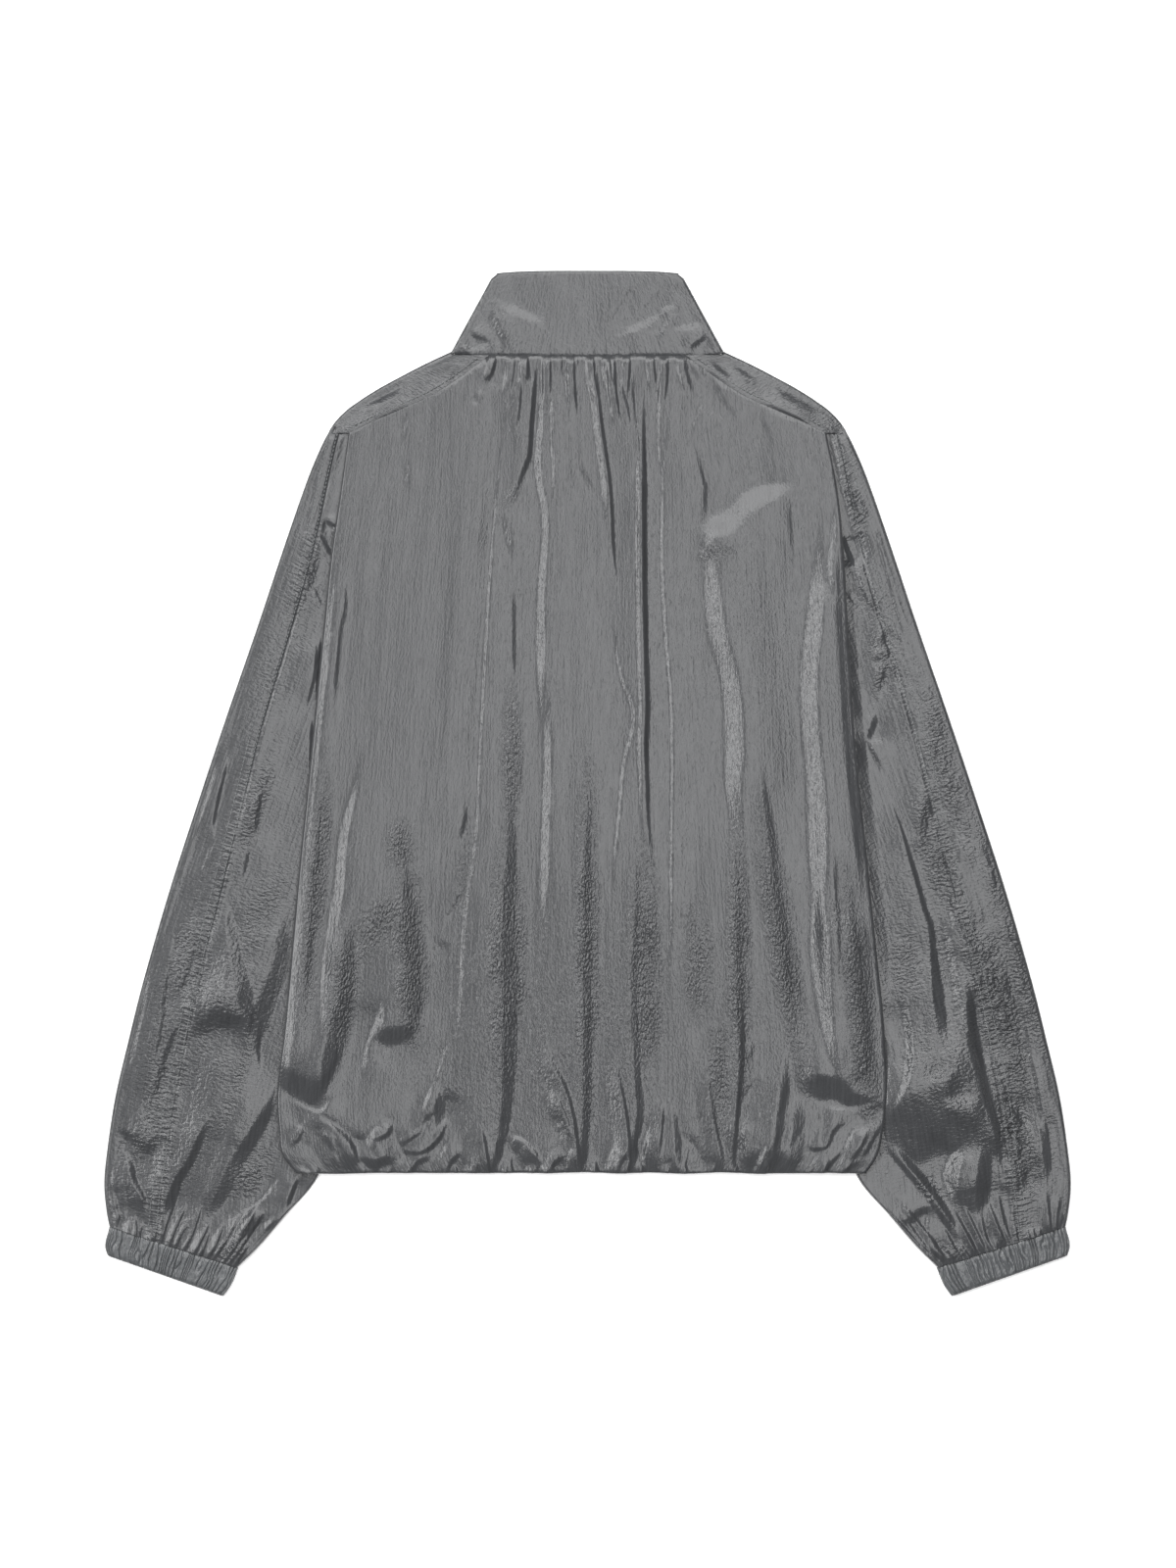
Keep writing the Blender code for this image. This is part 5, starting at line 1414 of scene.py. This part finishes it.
def joined(name, parts, finish, nodes=()):
    """One piece from several lists of points in millimetres and faces."""
    points, faces = [], []
    for part_points, part_faces in parts:
        faces += [tuple(len(points) + i for i in face) for face in part_faces]
        points += list(part_points)
    mesh = bpy.data.meshes.new(name)
    mesh.from_pydata(np.array(points) * MM, [], faces)
    mesh.materials.append(finish)
    return finished_piece(bpy.data.objects.new(name, mesh), nodes)


def make_zip():
    """The closed zip between the fronts: interlocked teeth on a core, and the slider at the top."""
    core, tooth_reach, tooth_half = 3.5, 2.6, 0.45  # half width of the core, and the teeth's sizes
    top = float(neck_seam_y(COLLAR_FOOT)) - FRONT_NECK_DROP + COLLAR_FRONT_HEIGHT - 4.0
    chain_end = top - SLIDER_LONG - SEAM_GAP
    low = HEM_Y + 1.0
    parts = [bar((-core, low, 0.55), (core, chain_end, 1.25), 0.3)]
    count = int((chain_end - low - 3.0) / TOOTH_PITCH)
    for k in range(count):
        y = low + 2.0 + k * TOOTH_PITCH
        for side in (-1, 1):
            middle = y + (0.25 if side > 0 else 0.75) * TOOTH_PITCH
            left, right = sorted((-0.5 * side, tooth_reach * side))
            parts.append(bar((left, middle - tooth_half, 0.3), (right, middle + tooth_half, 1.75), 0.2))
    joined("zip_teeth", parts, ZIP_NYLON, ["zip_chain"])
    start = top - SLIDER_LONG
    lower_plate = bar((-3.5, start, 0.3), (3.5, top, 1.0), 1.2)
    upper_plate = bar((-3.3, start + 0.4, 2.1), (3.3, top - 0.4, 2.7), 1.2)
    bridge = bar((-0.9, start + 5.5, 0.9), (0.9, top - 0.4, 2.3), 0.4)
    pull_tab = bar((-1.6, start - 12.0, 2.75), (1.6, start + 4.0, 3.2), 0.8)
    slider = [lower_plate, upper_plate, bridge, pull_tab]
    joined("zip_slider_body", slider, ZIP_NYLON, ["zip_slider"])


# Sewing


def stitch_row(name, line):
    """A row of stitches along a line of points in millimetres that lies on the cloth."""
    line = np.asarray(line, float)
    run = run_along(line)
    up = np.array([0.0, 0.0, 1.0])
    faces = tube_faces(len(STITCH_SECTIONS), STITCH_SIDES)
    parts = []
    for start in np.arange(0.5 * STITCH_PITCH, run[-1] - STITCH_PITCH, STITCH_PITCH):
        first = np.array([np.interp(start, run, line[:, k]) for k in range(3)])
        last = np.array([np.interp(start + STITCH_LONG, run, line[:, k]) for k in range(3)])
        aside = np.cross(up, (last - first) / np.linalg.norm(last - first))
        points = []
        for section in STITCH_SECTIONS:
            middle = first + (last - first) * section.share + up * STITCH_RISE * section.lift
            for turn in range(STITCH_SIDES):
                angle = 2.0 * math.pi * turn / STITCH_SIDES
                offset = aside * math.cos(angle) + 0.7 * up * math.sin(angle)
                points.append(middle + 0.5 * STITCH_WIDE * section.thick * offset)
        parts.append((points, faces))
    made = joined(name, parts, THREAD)
    made.data.shade_smooth()


def shoulder_stitches(side):
    """The line of topstitching above a shoulder seam, on the strip."""
    points = []
    for x in np.linspace(SEAM_NECK_X + 6.0, SHOULDER_TIP[0] - 3.0, 50):
        slope = float(shoulder_seam_y(x + 1.0) - shoulder_seam_y(x - 1.0)) / 2.0
        out = np.array([-slope, 1.0]) / math.hypot(slope, 1.0)
        place = np.array([x, float(shoulder_seam_y(x))]) + SHOULDER_TOPSTITCH * out
        points.append((side * place[0], place[1], LAID + 0.1))
    return points


# Build

back = make_back()
collar = make_collar()
fronts = [make_front(-1, "left"), make_front(1, "right")]
sleeves = []
for side, word, folds in ((-1, "left", LEFT_SLEEVE_FOLDS), (1, "right", RIGHT_SLEEVE_FOLDS)):
    pieces, (far_line, near_line) = make_sleeve(side, word, folds)
    sleeves += pieces
    stitch_row("sleeve_topstitch_" + word, far_line)
    stitch_row("sleeve_seam_stitch_" + word, near_line)
    stitch_row("shoulder_topstitch_" + word, shoulder_stitches(side))
cuffs = [make_cuff(-1, "left"), make_cuff(1, "right")]
make_zip()

# Floor, light and camera


def add_softbox(box):
    data = bpy.data.lights.new(box.name, "AREA")
    data.shape = "RECTANGLE"
    data.size, data.size_y = box.size
    data.energy = box.power
    made = bpy.data.objects.new(box.name, data)
    bpy.context.scene.collection.objects.link(made)
    made.location = box.place
    backwards = Vector(box.place) - Vector(box.faces)
    made.rotation_euler = backwards.to_track_quat("Z", "Y").to_euler()


def make_stage():
    """The floor, the softboxes and a little light from the whole room."""
    corners = [(x * FLOOR_HALF, y * FLOOR_HALF, 0.0) for x, y in ((-1, -1), (1, -1), (1, 1), (-1, 1))]
    mesh = bpy.data.meshes.new("floor")
    mesh.from_pydata(corners, [], [(0, 1, 2, 3)])
    mesh.materials.append(floor_card())
    made = bpy.data.objects.new("floor", mesh)
    bpy.context.scene.collection.objects.link(made)
    for box in SOFTBOXES:
        add_softbox(box)
    world = bpy.data.worlds.new("pale_room")
    world.use_nodes = True
    sky = world.node_tree.nodes["Background"]
    sky.inputs["Color"].default_value = linear("#ffffff")
    sky.inputs["Strength"].default_value = ROOM_LIGHT
    bpy.context.scene.world = world


def make_camera():
    """Straight above the middle, so that 1600 pixels of height show 1.28 m."""
    lens, sensor, tall = 85.0, 36.0, 1.28
    data = bpy.data.cameras.new("camera")
    data.lens = lens
    data.sensor_width = sensor
    data.sensor_fit = "AUTO"
    made = bpy.data.objects.new("camera", data)
    bpy.context.scene.collection.objects.link(made)
    made.location = (0.0004, -0.0004, tall * lens / sensor + LAID * MM)
    made.rotation_euler = (0.0, 0.0, 0.0)
    bpy.context.scene.camera = made


make_stage()
make_camera()
bpy.context.scene.view_settings.view_transform = "Standard"
